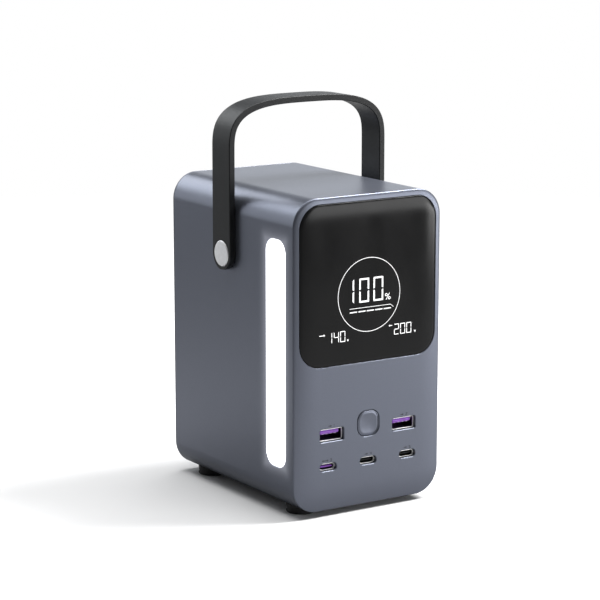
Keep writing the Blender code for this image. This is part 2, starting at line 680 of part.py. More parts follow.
def build_pivot(label, along, sign):
    """Shoulder screw, friction washer and cap at one end of the handle. Heights are from the side wall."""
    wall_place = (sign * SIDE, PIVOT_Y, PIVOT_Z)
    head = WEB_END + THIN_FIT
    screw = [(0, head + 0.0007), (0.0043, head + 0.0007), (0.0046, head + 0.0005), (0.0046, head)]
    screw += [(0.0030, head), (0.0030, THIN_FIT), (0.0019, THIN_FIT)]
    screw += [(0.0019, -0.0050), (0.0015, -0.0054), (0, -0.0054)]
    turned(f"pivot_screw_{label}", screw, wall_place, along, "screw_steel")
    washer = [(WASHER_RADIUS, 0.0006), (WASHER_RADIUS, THIN_FIT), (0.0033, THIN_FIT), (0.0033, 0.0006)]
    turned(f"pivot_washer_{label}", washer, wall_place, along, "black_plastic", closed=True)
    face = STRAP_GAP + STRAP_THICKNESS + 0.0002
    cap = [(0, face), (CAP_RADIUS - 0.0003, face), (CAP_RADIUS, face - 0.0003)]
    cap += [(CAP_RADIUS, 0.0028), (0, 0.0028)]
    return turned(f"pivot_cap_{label}", cap, wall_place, along, "silver", steps=32)


# ---- Battery and boards -------------------------------------------------------------------------
def cell_places():
    """(name, x, z, row) of each cell, two side by side in each row, counted from the bottom left."""
    places = []
    for row in range(CELL_ROWS):
        z = MIDDLE_Z + (row - (CELL_ROWS - 1) / 2) * CELL_PITCH
        for x in (-CELL_PITCH / 2, CELL_PITCH / 2):
            places.append((f"battery_cell_{len(places) + 1}", x, z, row))
    return places


def build_cells():
    """Cells lie along Y. Rows alternate in direction, because they are wired in series."""
    top, rim = CELL_LENGTH, CELL_RADIUS - 0.0007
    profile = [(0, top), (0.0055, top), (0.0055, top - 0.0006), (rim, top - 0.0006)]
    profile += [(CELL_RADIUS, top - 0.0013), (CELL_RADIUS, 0.0007), (rim, 0), (0, 0)]
    for name, x, z, row in cell_places():
        forwards = row % 2 == 0
        start_y = CELL_BACK_Y if forwards else CELL_FRONT_Y
        turned(name, profile, (x, start_y, z), "-Y" if forwards else "+Y", "cell_wrap")


def build_cell_holders():
    """Two plates that fit the sleeve and hold the cells, the front one with posts for the power board."""
    edge = body_outline(WALL + 0.0004)
    holes = [circle(CELL_RADIUS + 0.0004, (x, z - MIDDLE_Z)) for _, x, z, _ in cell_places()]
    thickness = 0.006
    for name, y in (("cell_holder_front", -0.0155), ("cell_holder_rear", 0.0290)):
        holder = plate(name, [edge, *holes], thickness, (0, y, MIDDLE_Z), "front", "black_plastic")
        if name.endswith("front"):
            post_start = y - thickness / 2 + 0.001
            length = post_start - (POWER_BOARD_Y + BOARD_THICKNESS / 2 + FIT)
            for number, (x, z) in enumerate(POWER_POSTS, 1):
                fuse(holder, rod(f"board_post_{number}", 0.0025, (x, post_start, z), length, "-Y", steps=12))


def build_busbars():
    """Nickel strips that join the cells: each row in parallel, and the rows in series."""
    zs = sorted({z for _, _, z, _ in cell_places()})
    gap = 0.0002
    thickness = 0.0003
    front_y = CELL_FRONT_Y - gap - thickness / 2
    rear_y = CELL_BACK_Y + gap + thickness / 2
    groups = [
        ("busbar_front_low", front_y, zs[0:1]),
        ("busbar_front_middle", front_y, zs[1:3]),
        ("busbar_front_high", front_y, zs[3:4]),
        ("busbar_rear_low", rear_y, zs[0:2]),
        ("busbar_rear_high", rear_y, zs[2:4]),
    ]
    for name, y, rows in groups:
        height = rows[-1] - rows[0] + 0.008
        outline = rounded_rect(CELL_PITCH + 0.008, height, 0.002, SMALL_CORNER_STEPS)
        plate(name, [outline], thickness, (0, y, (rows[0] + rows[-1]) / 2), "front", "nickel")


def build_power_board():
    """Battery protection and converter board, with its coils and capacitors towards the front."""
    outline = rounded_rect(POWER_BOARD_WIDTH, POWER_BOARD_HEIGHT, 0.003, SMALL_CORNER_STEPS)
    centre = (0, POWER_BOARD_Y, MIDDLE_Z)
    board = plate("power_board", [outline], BOARD_THICKNESS, centre, "front", "board_green")
    coil_x, coil_half, coil_height = -0.013, 0.008, 0.0068
    for number, z in enumerate((0.052, 0.076, 0.100), 1):
        low = (coil_x - coil_half, POWER_BOARD_Y - coil_height, z - coil_half)
        high = (coil_x + coil_half, POWER_BOARD_Y, z + coil_half)
        fuse(board, block(f"coil_{number}", low, high, "black_plastic"))
    capacitors = [(x, z) for x in (0.012, 0.026) for z in (0.050, 0.064)]
    for number, (x, z) in enumerate(capacitors, 1):
        fuse(board, rod(f"capacitor_{number}", 0.005, (x, POWER_BOARD_Y, z), 0.010, "-Y", steps=16))
    low, high = (0.006, POWER_BOARD_Y - 0.0080, 0.084), (0.032, POWER_BOARD_Y, 0.120)
    fuse(board, block("heat_sink", low, high, "black_plastic"))


def build_main_board():
    """The board behind the front panel, which carries the sockets, the switch and the display."""
    width = MAIN_BOARD_RIGHT - MAIN_BOARD_LEFT
    height = MAIN_BOARD_TOP - MAIN_BOARD_BOTTOM
    centre_x = (MAIN_BOARD_LEFT + MAIN_BOARD_RIGHT) / 2
    centre_z = (MAIN_BOARD_BOTTOM + MAIN_BOARD_TOP) / 2
    y = BOARD_FRONT_Y + BOARD_THICKNESS / 2
    outline = rounded_rect(width, height, 0.002, SMALL_CORNER_STEPS)
    holes = [circle(0.0016, (x - centre_x, z - centre_z), 12) for _, x, z in main_screw_places()]
    centre = (centre_x, y, centre_z)
    board = plate("main_board", [outline, *holes], BOARD_THICKNESS, centre, "front", "board_green")
    chips = ((0.000, 0.034, 0.009), (-0.018, 0.056, 0.007), (0.018, 0.056, 0.007))  # x, z, size
    for number, (x, z, size) in enumerate(chips, 1):
        low = (x - size / 2, y, z - size / 2)
        high = (x + size / 2, y + BOARD_THICKNESS / 2 + 0.0012, z + size / 2)
        fuse(board, block(f"chip_{number}", low, high, "black_plastic"))

    screw = [(0, 0.0016), (0.0020, 0.0016), (0.0024, 0.0012), (0.0024, 0), (0.0012, 0)]
    screw += [(0.0012, -0.0068), (0.0008, -0.0074), (0, -0.0074)]
    head_y = BOARD_FRONT_Y + BOARD_THICKNESS + THIN_FIT
    for name, x, z in main_screw_places():
        turned(name, screw, (x, head_y, z), "+Y", "screw_steel", steps=12)


def build_battery_leads():
    """Two stiff leads that stand between the end busbars and the power board."""
    start_y = CELL_FRONT_Y - 0.0005 - FIT
    end_y = POWER_BOARD_Y + BOARD_THICKNESS / 2 + FIT
    end_rows = (CELL_ROWS - 1) / 2 * CELL_PITCH
    leads = [
        ("battery_lead_negative", -0.012, MIDDLE_Z - end_rows, "black_plastic"),
        ("battery_lead_positive", 0.012, MIDDLE_Z + end_rows, "lead_red"),
    ]
    for name, x, z, finish in leads:
        rod(name, 0.0015, (x, start_y, z), start_y - end_y, "-Y", finish, steps=16)


def build_power_station():
    build_housing_sleeve()
    build_front_panel()
    build_rear_cover()
    build_feet_and_screws()
    build_display()
    build_button()
    for socket in SOCKETS:
        build_socket(*socket)
    build_lamp()
    build_handle()
    build_cells()
    build_cell_holders()
    build_busbars()
    build_power_board()
    build_main_board()
    build_battery_leads()


build_power_station()
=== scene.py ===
"""Looks for the battery power station: fine meshes, procedural materials, camera and studio light.

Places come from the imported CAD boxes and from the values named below. Metres, +Z up, the display
faces -Y.
"""

import json
import math

import bmesh
import bpy
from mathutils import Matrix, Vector


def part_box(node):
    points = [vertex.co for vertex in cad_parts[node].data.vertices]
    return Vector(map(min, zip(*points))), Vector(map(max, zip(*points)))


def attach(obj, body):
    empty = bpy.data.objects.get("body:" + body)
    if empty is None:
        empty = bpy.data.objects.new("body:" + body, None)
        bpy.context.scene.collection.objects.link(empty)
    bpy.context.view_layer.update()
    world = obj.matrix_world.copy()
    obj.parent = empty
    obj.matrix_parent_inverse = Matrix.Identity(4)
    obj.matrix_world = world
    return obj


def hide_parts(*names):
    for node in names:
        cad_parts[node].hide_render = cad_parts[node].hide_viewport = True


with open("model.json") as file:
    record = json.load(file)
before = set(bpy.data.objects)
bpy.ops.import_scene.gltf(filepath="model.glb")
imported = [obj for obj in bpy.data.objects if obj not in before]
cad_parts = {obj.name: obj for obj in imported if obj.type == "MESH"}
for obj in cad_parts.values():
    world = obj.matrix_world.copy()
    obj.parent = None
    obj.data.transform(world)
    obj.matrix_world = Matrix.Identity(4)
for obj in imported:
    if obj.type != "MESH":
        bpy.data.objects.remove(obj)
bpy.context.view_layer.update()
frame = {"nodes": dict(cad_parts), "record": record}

# ---- Places read from the CAD -------------------------------------------------------------------
PANEL_LOW, PANEL_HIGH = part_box("front_panel")
REAR_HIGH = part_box("rear_cover")[1]
LENS_LOW, LENS_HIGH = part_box("display_lens")
BUTTON_LOW, BUTTON_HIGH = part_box("power_button")
LAMP_LOW, LAMP_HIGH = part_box("lamp_lens")
STRAP_LOW, STRAP_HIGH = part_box("handle_strap")
CAP_LOW, CAP_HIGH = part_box("pivot_cap_left")

FRONT = PANEL_LOW[1]
FACE = FRONT + 0.00006  # the visible face, just behind the foremost CAD point
REAR = REAR_HIGH[1]
SIDE = PANEL_HIGH[0]
BASE = PANEL_LOW[2]
TOP = PANEL_HIGH[2]
MIDDLE_Z = (BASE + TOP) / 2
WIDTH = 2 * SIDE
HEIGHT = TOP - BASE

# ---- Steps of curves ----------------------------------------------------------------------------
CORNER_STEPS = 20
SMALL_CORNER_STEPS = 8
EDGE_STEPS = 3
CROWN_STEPS = 14
RIM_STEPS = 8
FILLET_STEPS = 5
DISH_STEPS = 10
DOME_STEPS = 8
CAP_STEPS = 6
TIP_STEPS = 12
ARM_STEPS = 6
ARCH_STEPS = 48
STRAP_CORNER_STEPS = 6
RING_STEPS = 128
CAP_RING_STEPS = 96

# ---- Casing -------------------------------------------------------------------------------------
BODY_CORNER = 0.013
WALL = 0.002
SEAM_DEPTH = 0.00190  # the sleeve's ends, behind the flat middle of the faces
SEAM_GAP = 0.00030
SEAM_FILLET = 0.00014
CROWN_WIDTH = 0.0145
CROWN_DROP = 0.00112
RIM_WIDTH = 0.0013
RIM_DROP = 0.00030
WELD_REACH = 1e-7
PLUG_LENGTH = 0.0012  # an end panel's inner wall, from the seam inwards
PANEL_LEAST_CORNER = 0.0004  # corner radius of the innermost crown ring
PANEL_SHARES = (0.985, 0.97, 0.955, 0.94)  # rings inside the crown, as shares of the innermost one

CUTTER_START = 0.002  # how far outside the surface a cutter begins
CUTTER_LEAD = 0.15  # where its fillet begins, outside the surface, as a share of its radius
CUTTER_PASS = 0.001  # how far past the wall it ends
HOLE_DEPTH = 0.004

FOOT_GAP = 0.0001
FOOT_FLOOR = 0.0004  # wall left over each foot
FOOT_FILLET = 0.0006
FOOT_TREAD = 0.0022  # width of the ring that stands on the floor
FOOT_DISH = 0.0003
FOOT_DISH_SLOPE = 0.0005
FOOT_DISH_CENTRE = 0.0015
FEET = ("foot_front_left", "foot_front_right", "foot_rear_left", "foot_rear_right")

# ---- Display ------------------------------------------------------------------------------------
LENS_WIDTH = LENS_HIGH[0] - LENS_LOW[0]
LENS_HEIGHT = LENS_HIGH[2] - LENS_LOW[2]
LENS_CENTRE = (0, (LENS_LOW[2] + LENS_HIGH[2]) / 2)
LENS_CORNER = 0.0112
LENS_LEAST_CORNER = 0.0003
LENS_SHARES = (0.97, 0.94, 0.91, 0.88)
LENS_GAP = 0.00016
LENS_FILLET = 0.00018
RECESS_FILLET = 0.00035
RECESS_DEPTH = 0.0022
GRAPHIC_DEPTH = 0.00002  # lit and printed shapes, behind the foremost CAD point
GRAPHIC_THICKNESS = 0.00002

MM = 0.001
RING_Z = MIDDLE_Z + 27.25 * MM
RING_RADIUS = 17.7 * MM
RING_LINE = 0.27 * MM
BIG_DIGIT = (5.6 * MM, 11.6 * MM, 0.82 * MM, 8.1 * MM)  # width, height, line, pitch
SMALL_DIGIT = (2.85 * MM, 5.2 * MM, 0.37 * MM, 3.6 * MM)
MARK_DIGIT = (1.0 * MM, 1.4 * MM, 0.27 * MM, 1.0 * MM)
LEVEL_PLACE = (-9.5 * MM, RING_Z - 3.5 * MM)
PERCENT_PLACE = (10.7 * MM, RING_Z - 2.0 * MM)
PERCENT_SIZE = 3.2 * MM
PERCENT_RING = (0.28, 0.26, 0.18, 0.11)  # across, up, radius and line, as shares of its size
PERCENT_BAR = ((-0.38, -0.5), (-0.26, -0.5), (0.38, 0.5), (0.26, 0.5))
CHARGE_CELLS = 5
CHARGE_LEFT = -11.2 * MM
CHARGE_Z = RING_Z - 8.0 * MM
CHARGE_CELL = (4.10 * MM, 0.5 * MM, 0.35 * MM, 4.85 * MM)  # width, height, lean, pitch
RULE_RISE = 1.9 * MM
RULE_LINE = 0.22 * MM
RULE_FALL = 1.7 * MM
RULE_SLOPE = 0.8
RULE_END_LINE = 1.3  # the slanted end's line, as a share of the rule's
POWER_OUT = (-21.4 * MM, RING_Z - 21.2 * MM)
POWER_IN = (14.5 * MM, RING_Z - 21.1 * MM)
ARROW_OUT = (3.2 * MM, 1.2 * MM, 1)  # length, height, pointing right or left
ARROW_IN = (2.0 * MM, 1.1 * MM, -1)
ARROW_OUT_PLACE = (-26.6 * MM, POWER_OUT[1] + 4.2 * MM)
ARROW_IN_PLACE = (12.4 * MM, POWER_IN[1] + 4.7 * MM)
ARROW_SHAFT = 0.16  # half the shaft's width and the head's length, as shares of the height
ARROW_HEAD = 0.55
UNIT_PLACES = (("unit_out", -12.6 * MM, POWER_OUT[1]), ("unit_in", 26.2 * MM, POWER_IN[1]))
UNIT_SIZE = 1.0 * MM
UNIT_OUTLINE = (
    (0, 1), (0.22, 0), (0.36, 0), (0.5, 0.55), (0.64, 0), (0.78, 0), (1, 1),
    (0.84, 1), (0.71, 0.45), (0.57, 1), (0.43, 1), (0.29, 0.45), (0.16, 1),
)

DIGITS = {
    "0": ("top", "upper_left", "upper_right", "lower_left", "lower_right", "bottom"),
    "1": ("upper_right", "lower_right"),
    "2": ("top", "upper_right", "middle", "lower_left", "bottom"),
    "3": ("top", "upper_right", "middle", "lower_right", "bottom"),
    "4": ("upper_left", "upper_right", "middle", "lower_right"),
    "5": ("top", "upper_left", "middle", "lower_right", "bottom"),
}
SEGMENT_GAP = 0.10  # of seven-segment digits, as shares of their line
SEGMENT_SPLIT = 0.30
SEGMENT_NOTCH = 0.8
ONE_TIGHTENS = 0.9  # how much of a 1's empty width the next digit takes

# ---- Button and sockets -------------------------------------------------------------------------
BUTTON_FACE = 0.0123
BUTTON_CORNER = 0.0046
BUTTON_GAP = 0.00016
BUTTON_HOLE_FILLET = 0.0005
BUTTON_FILLET = 0.0005
BUTTON_SINK = 0.0001
BUTTON_DEPTH = 0.0036
BUTTON_DISH = 0.00045
BUTTON_DISH_REACH = 0.97
BUTTON_CENTRE = (0, (BUTTON_LOW[2] + BUTTON_HIGH[2]) / 2)

MOUTH_GAP = 0.00025  # around each socket shell
MOUTH_FILLET = 0.00045
SHELL_SINK = 0.0010  # how far the socket shells lie behind the mouths
# Deeper than this from the mouth, the shells' insides get painted shade, a near-black metal.
PAINTED_SHADE_START = 0.0010  # how deep the shells are still bright inside
SHELL_WALL = 0.0004
SHELL_ROLL = 0.0001
SHELL_BACK = 0.0006
SOCKET_CORNERS = {"a": 0.0008, "c": 0.0016}
SOCKETS = (
    ("usb_a_left", "a", "purple"),
    ("usb_a_right", "a", "purple"),
    ("usb_c_left", "c", "purple"),
    ("usb_c_middle", "c", "black"),
    ("usb_c_right", "c", "black"),
)
TONGUES = {  # places from the socket's centre; sink is from the shell's mouth
    "a": {"x": (-0.0058, 0.0052), "z": (0.0003, 0.0023), "sink": 0.0004, "bevel": 0.00095},
    "c": {"x": (-0.0033, 0.0033), "z": (-0.00035, 0.00035), "sink": 0.0006, "bevel": 0.0003},
}
CONTACTS = {
    "a": {"count": 4, "first": -0.0038, "pitch": 0.0023, "half": 0.0005},
    "c": {"count": 10, "first": -0.0027, "pitch": 0.0006, "half": 0.00014},
}
CONTACT_SINK = 0.0006  # from the tongue's front
CONTACT_PROUD = 0.0001  # below the tongue
CONTACT_BURIED = 0.00005
CONTACT_BEVEL = 0.00004
TONGUE_BASE = (0.0011, 0.0006)  # the base's inset from the shell's sides, and from its top and bottom
TONGUE_BASE_DEPTH = 0.003
TONGUE_BASE_BEVEL = 0.00015
BEVEL_INSET = 0.95

MARK_RISE = 1.7 * MM  # printed marks, over each socket
MARK_ARROW = (1.8 * MM, 1.2 * MM)
MARKS_ONE_WAY = ((-1.2, 1),)  # place in millimetres, pointing right or left
MARKS_BOTH_WAYS = ((-2.8, -1), (-0.9, 1))
MARK_NUMBER = (0.9 * MM, -0.7 * MM)

# ---- Lamp and handle ----------------------------------------------------------------------------
LAMP_FLANGE = 0.0015
LAMP_CORNER = 0.0064
LAMP_HALF_WIDTH = (LAMP_HIGH[1] - LAMP_LOW[1]) / 2 - LAMP_FLANGE
LAMP_HALF_HEIGHT = (LAMP_HIGH[2] - LAMP_LOW[2]) / 2 - LAMP_FLANGE
LAMP_CENTRE = ((LAMP_LOW[1] + LAMP_HIGH[1]) / 2, (LAMP_LOW[2] + LAMP_HIGH[2]) / 2)
LAMP_GAP = 0.0001
LAMP_WINDOW_FILLET = 0.0004
LAMP_SINK = 0.0004
LAMP_DOME = 0.0006
LAMP_DOME_WIDTH = 0.0050
# Painted glow around the lamp window, emitted by the shell's own material:
PAINTED_GLOW_REACH = 0.009
PAINTED_GLOW_POWER = 3.2
PAINTED_GLOW_STRENGTH = 0.16

STRAP_HALF = (STRAP_HIGH[1] - STRAP_LOW[1]) / 2
STRAP_THICKNESS = 0.0032
STRAP_EDGE = 0.0004
STRAP_CROWN = 0.0001
STRAP_LEAST_HALF = 0.0002
STRAP_ROUNDEST = 0.98  # largest corner radius, as a share of half the width or the thickness
ARCH_POWER = 3.2  # exponent of the superellipse
ARCH_SPRING_Z = 0.1695  # where the straight arms turn into the arch
PIVOT_Y = (STRAP_LOW[1] + STRAP_HIGH[1]) / 2
PIVOT_Z = (CAP_LOW[2] + CAP_HIGH[2]) / 2
CAP_RECESS_GAP = 0.00012
CAP_RECESS_FILLET = 0.0003
CAP_RECESS_START = 0.001  # how far outside the strap its cutter begins
CAP_DEPTH = 0.0012
CAP_CHAMFER = ((0.0, -0.00045), (0.00008, -0.00033), (0.0004, -0.00006))  # inset, level
CAP_DOME = 0.00006
CAP_LEAST_RADIUS = 0.0002

# ---- Colours ------------------------------------------------------------------------------------
SHELL_COLOUR = (0.150, 0.1630, 0.203)
# Colour of the painted glow on the shell around the lamp.
PAINTED_GLOW_COLOUR = (0.86, 0.88, 1.0)
LENS_COLOUR = (0.0062, 0.0063, 0.0066)
STRAP_COLOUR = (0.0074, 0.0083, 0.0092)
PAPER_COLOUR = (0.85, 0.85, 0.85)
WHITE = (1.0, 1.0, 1.0)

# ---- Light and camera ---------------------------------------------------------------------------
SKY_TINT = (0.94, 0.97, 1.0)
WORLD_LIGHT = 0.08
PAPER_SEEN = 0.74
PAPER_BOUNCE = 0.35
PAPER_HALF = 1.2
PAPER_FADE = (0.25, 1.0)  # distances between which the floor fades away
PAPER_LEVEL = -0.00005
LIGHTS = (  # name, place, size, watts
    ("overhead", (0.00, 0.10, 1.30), (1.2, 0.9), 18.6),
    ("back_right_low", (0.85, 1.15, 0.35), (0.9, 0.6), 1.85),
    ("back_left_low", (-0.75, 1.20, 0.30), (0.8, 0.6), 2.1),
    ("back_high", (-0.25, 1.10, 0.75), (0.9, 0.5), 5.5),
    ("right_high", (0.75, -0.25, 1.05), (0.5, 0.5), 30.0),
    ("front_right_low", (0.90, -1.10, 0.25), (0.8, 0.5), 5.0),
    ("right_near_low", (0.62, -0.45, 0.07), (0.35, 0.12), 0.8),
)
LIGHT_AIM = (0, 0, 0.08)
# The camera comes from a perspective fit of the object's size and the photograph's view.
CAMERA_PLACE = (-0.61649, -0.94439, 0.31539)
CAMERA_AIM = (-0.01297, -0.01650, 0.09734)
CAMERA_LENS = 140.04
CAMERA_SENSOR = 36


# ---- Outlines and rings -------------------------------------------------------------------------
def rounded_rect(width, height, radius, steps=CORNER_STEPS):
    """Points of a rounded rectangle about the origin, anticlockwise."""
    radius = max(radius, 1e-5)
    points = []
    for corner in range(4):
        centre_u = (width / 2 - radius) * (1 if corner in (0, 3) else -1)
        centre_v = (height / 2 - radius) * (1 if corner in (0, 1) else -1)
        for step in range(steps + 1):
            angle = math.pi / 2 * (corner + step / steps)
            points.append((centre_u + radius * math.cos(angle), centre_v + radius * math.sin(angle)))
    return points


def rect_outline(width, height, corner, steps=CORNER_STEPS):
    """A function that gives the outline grown by an offset."""
    return lambda offset: rounded_rect(width + 2 * offset, height + 2 * offset, corner + offset, steps)


def circle(radius, steps=64):
    turns = [2 * math.pi * step / steps for step in range(steps)]
    return [(radius * math.cos(turn), radius * math.sin(turn)) for turn in turns]


def scaled(outline, share):
    return [(u * share, v * share) for u, v in outline]


def body_outline(inset):
    return rounded_rect(WIDTH - 2 * inset, HEIGHT - 2 * inset, BODY_CORNER - inset)


def depth_inside(x, z):
    """How far a point seen from the front lies inside the body's outline."""
    over_x = abs(x) - (SIDE - BODY_CORNER)
    over_z = abs(z - MIDDLE_Z) - (HEIGHT / 2 - BODY_CORNER)
    if over_x > 0 and over_z > 0:
        return BODY_CORNER - math.hypot(over_x, over_z)
    return BODY_CORNER - max(over_x, over_z)


def crown_drop(inset):
    """How far the face lies behind its flat middle: a broad crown, rounded over at the rim."""
    crown = max(0.0, 1 - inset / CROWN_WIDTH)
    rim = max(0.0, 1 - inset / RIM_WIDTH)
    return CROWN_DROP * crown ** 3 + RIM_DROP * (1 - math.sqrt(1 - rim * rim))


def front_ring(outline, y, centre=(0, 0)):
    return [(centre[0] + u, y, centre[1] + v) for u, v in outline]


def hugging_ring(outline, depth, centre):
    """A ring at a depth behind the crowned front face, following its curve."""
    ring = front_ring(outline, FACE, centre)
    return [(x, y + crown_drop(depth_inside(x, z)) + depth, z) for x, y, z in ring]


def side_ring(outline, x, centre):
    return [(x, centre[0] + u, centre[1] + v) for u, v in outline]


def level_ring(radius, level, centre):
    return [centre + Vector((u, v, level)) for u, v in circle(radius)]


def quarter(radius, steps=FILLET_STEPS):
    """(offset, depth) pairs of a convex fillet, from the face to the wall."""
    turns = [math.pi / 2 * step / steps for step in range(steps + 1)]
    return [(radius * (1 - math.sin(turn)), radius * (1 - math.cos(turn))) for turn in turns]


# ---- Meshes -------------------------------------------------------------------------------------
def linked(obj):
    bpy.context.scene.collection.objects.link(obj)
    return obj


def mesh_object(name, shape):
    """A linked object from a bmesh, which is freed."""
    mesh = bpy.data.meshes.new(name)
    shape.to_mesh(mesh)
    shape.free()
    return linked(bpy.data.objects.new(name, mesh))


def skin(name, rings, closed=True):
    """A mesh through rings of equally many points, with a flat face at each end if closed."""
    shape = bmesh.new()
    made = [[shape.verts.new(point) for point in ring] for ring in rings]
    count = len(rings[0])
    for near, far in zip(made, made[1:]):
        for i in range(count):
            j = (i + 1) % count
            shape.faces.new((near[i], near[j], far[j], far[i]))
    if closed:
        shape.faces.new(made[0][::-1])
        shape.faces.new(made[-1])
    bmesh.ops.recalc_face_normals(shape, faces=shape.faces)
    return mesh_object(name, shape)


def weld(obj):
    """Merges the points where a looped skin meets itself."""
    shape = bmesh.new()
    shape.from_mesh(obj.data)
    bmesh.ops.remove_doubles(shape, verts=shape.verts, dist=WELD_REACH)
    bmesh.ops.recalc_face_normals(shape, faces=shape.faces)
    shape.to_mesh(obj.data)
    shape.free()


def apply_modifiers(obj):
    """Bakes the modifiers of an object into its mesh."""
    bpy.context.view_layer.update()
    graph = bpy.context.evaluated_depsgraph_get()
    baked = bpy.data.meshes.new_from_object(obj.evaluated_get(graph))
    obj.modifiers.clear()
    old = obj.data
    obj.data = baked
    bpy.data.meshes.remove(old)


def cut(obj, tools):
    """Cuts closed tools out of an object, and removes them."""
    for tool in tools:
        step = obj.modifiers.new(tool.name, "BOOLEAN")
        step.operation = "DIFFERENCE"
        step.object = tool
    apply_modifiers(obj)
    for tool in tools:
        bpy.data.objects.remove(tool, do_unlink=True)


def smooth(obj, degrees):
    """Smooth shading that keeps flat faces flat and edges over the angle sharp."""
    obj.data.shade_smooth()
    obj.data.set_sharp_from_angle(angle=math.radians(degrees))
    weighted = obj.modifiers.new("weighted", "WEIGHTED_NORMAL")
    weighted.keep_sharp = True
    apply_modifiers(obj)


def piece(obj, material, replaces=(), body="housing", degrees=40):
    """Finishes a piece: shading, material, the body it moves with and the CAD node it stands for."""
    smooth(obj, degrees)
    obj.data.materials.clear()
    obj.data.materials.append(material)
    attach(obj, body)
    if replaces:
        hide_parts(*replaces)


def join(name, objects):
    """One object from several at the origin, which are removed."""
    shape = bmesh.new()
    for part in objects:
        shape.from_mesh(part.data)
        bpy.data.objects.remove(part, do_unlink=True)
    return mesh_object(name, shape)


# ---- Materials ----------------------------------------------------------------------------------
class Shader:
    """A Principled material and the few node recipes that the finishes share."""

    def __init__(self, name, colour, roughness, metallic=0.0):
        self.material = bpy.data.materials.new(name)
        self.material.use_nodes = True
        self.tree = self.material.node_tree
        self.bsdf = self.tree.nodes["Principled BSDF"]
        self.colour = colour
        self.set("Base Color", (*colour, 1))
        self.set("Roughness", roughness)
        self.set("Metallic", metallic)
        self.place = self.node("ShaderNodeTexCoord").outputs["Object"]

    def node(self, kind, **settings):
        made = self.tree.nodes.new(kind)
        for key, value in settings.items():
            setattr(made, key, value)
        return made

    def link(self, source, target):
        self.tree.links.new(source, target)

    def set(self, socket, value):
        self.bsdf.inputs[socket].default_value = value

    def noise(self, size, detail=2.0, roughness=0.5, stretch=(1, 1, 1)):
        """Noise whose grains are about size metres across."""
        mapping = self.node("ShaderNodeMapping")
        mapping.inputs["Scale"].default_value = stretch
        self.link(self.place, mapping.inputs["Vector"])
        made = self.node("ShaderNodeTexNoise")
        made.inputs["Scale"].default_value = 1 / size
        made.inputs["Detail"].default_value = detail
        made.inputs["Roughness"].default_value = roughness
        self.link(mapping.outputs["Vector"], made.inputs["Vector"])
        return made.outputs["Fac"]

    def ramp(self, source, low, high, from_low=0.3, from_high=0.7):
        """Maps a value range to another."""
        made = self.node("ShaderNodeMapRange")
        limits = {"From Min": from_low, "From Max": from_high, "To Min": low, "To Max": high}
        for key, value in limits.items():
            made.inputs[key].default_value = value
        self.link(source, made.inputs["Value"])
        return made.outputs["Result"]

    def maths(self, operation, source, number):
        made = self.node("ShaderNodeMath", operation=operation)
        self.link(source, made.inputs[0])
        made.inputs[1].default_value = number
        return made.outputs["Value"]

    def vector(self, operation, source, operand=None):
        made = self.node("ShaderNodeVectorMath", operation=operation)
        self.link(source, made.inputs[0])
        if operand is not None:
            made.inputs[1].default_value = operand
        return made.outputs["Value" if operation == "LENGTH" else "Vector"]

    def vary_roughness(self, source, low, high):
        self.link(self.ramp(source, low, high), self.bsdf.inputs["Roughness"])

    def vary_colour(self, source, darker, lighter):
        """Blends between a darker and a lighter shade of the base colour."""
        mix = self.node("ShaderNodeMix", data_type="RGBA")
        mix.inputs["A"].default_value = (*[c * darker for c in self.colour], 1)
        mix.inputs["B"].default_value = (*[min(1.0, c * lighter) for c in self.colour], 1)
        self.link(self.ramp(source, 0, 1), mix.inputs["Factor"])
        self.link(mix.outputs["Result"], self.bsdf.inputs["Base Color"])

    def bump(self, source, depth):
        """Adds a bump of a depth in metres, on top of any bump already there."""
        made = self.node("ShaderNodeBump")
        made.inputs["Distance"].default_value = depth
        made.inputs["Strength"].default_value = 1.0
        self.link(source, made.inputs["Height"])
        if self.bsdf.inputs["Normal"].is_linked:
            self.link(self.bsdf.inputs["Normal"].links[0].from_socket, made.inputs["Normal"])
        self.link(made.outputs["Normal"], self.bsdf.inputs["Normal"])


def lamp_spill(shader):
    """Painted glow: emission on the shell that falls off with distance from the lamp's window."""
    offset = shader.vector("SUBTRACT", shader.place, (-SIDE, *LAMP_CENTRE))
    folded = shader.vector("ABSOLUTE", offset)
    beyond = shader.vector("SUBTRACT", folded, (0.0, LAMP_HALF_WIDTH, LAMP_HALF_HEIGHT))
    outside = shader.vector("MAXIMUM", beyond, (0, 0, 0))
    distance = shader.vector("LENGTH", outside)
    near = shader.ramp(distance, 1.0, 0.0, 0.0, PAINTED_GLOW_REACH)
    return shader.maths("MULTIPLY", shader.maths("POWER", near, PAINTED_GLOW_POWER), PAINTED_GLOW_STRENGTH)


def shell_finish():
    """Blue-grey satin coat with fine metal flake, with a painted glow around the lamp: emission of the shell
    itself, not light from the lamp.
    """
    shader = Shader("shell_satin", SHELL_COLOUR, 0.35, metallic=0.80)
    flake = shader.noise(0.00016, detail=3.0)
    shader.vary_colour(flake, 0.93, 1.07)
    shader.vary_roughness(shader.noise(0.0009, detail=4.0), 0.32, 0.38)
    shader.bump(flake, 0.000012)
    shader.bump(shader.noise(0.004, detail=1.0), 0.00001)
    # Painted glow around the lamp window, as emission from the shell.
    shader.set("Emission Color", (*PAINTED_GLOW_COLOUR, 1))
    shader.link(lamp_spill(shader), shader.bsdf.inputs["Emission Strength"])
    return shader.material


def lens_finish():
    """Smoked glossy lens with the faintest haze and wipe marks."""
    shader = Shader("lens_smoked", LENS_COLOUR, 0.16)
    shader.set("Specular IOR Level", 0.25)
    shader.vary_roughness(shader.noise(0.016, detail=3.0, stretch=(1, 1, 0.5)), 0.15, 0.21)
    shader.vary_colour(shader.noise(0.03), 0.9, 1.1)
    shader.bump(shader.noise(0.012, detail=1.0), 0.000006)
    return shader.material


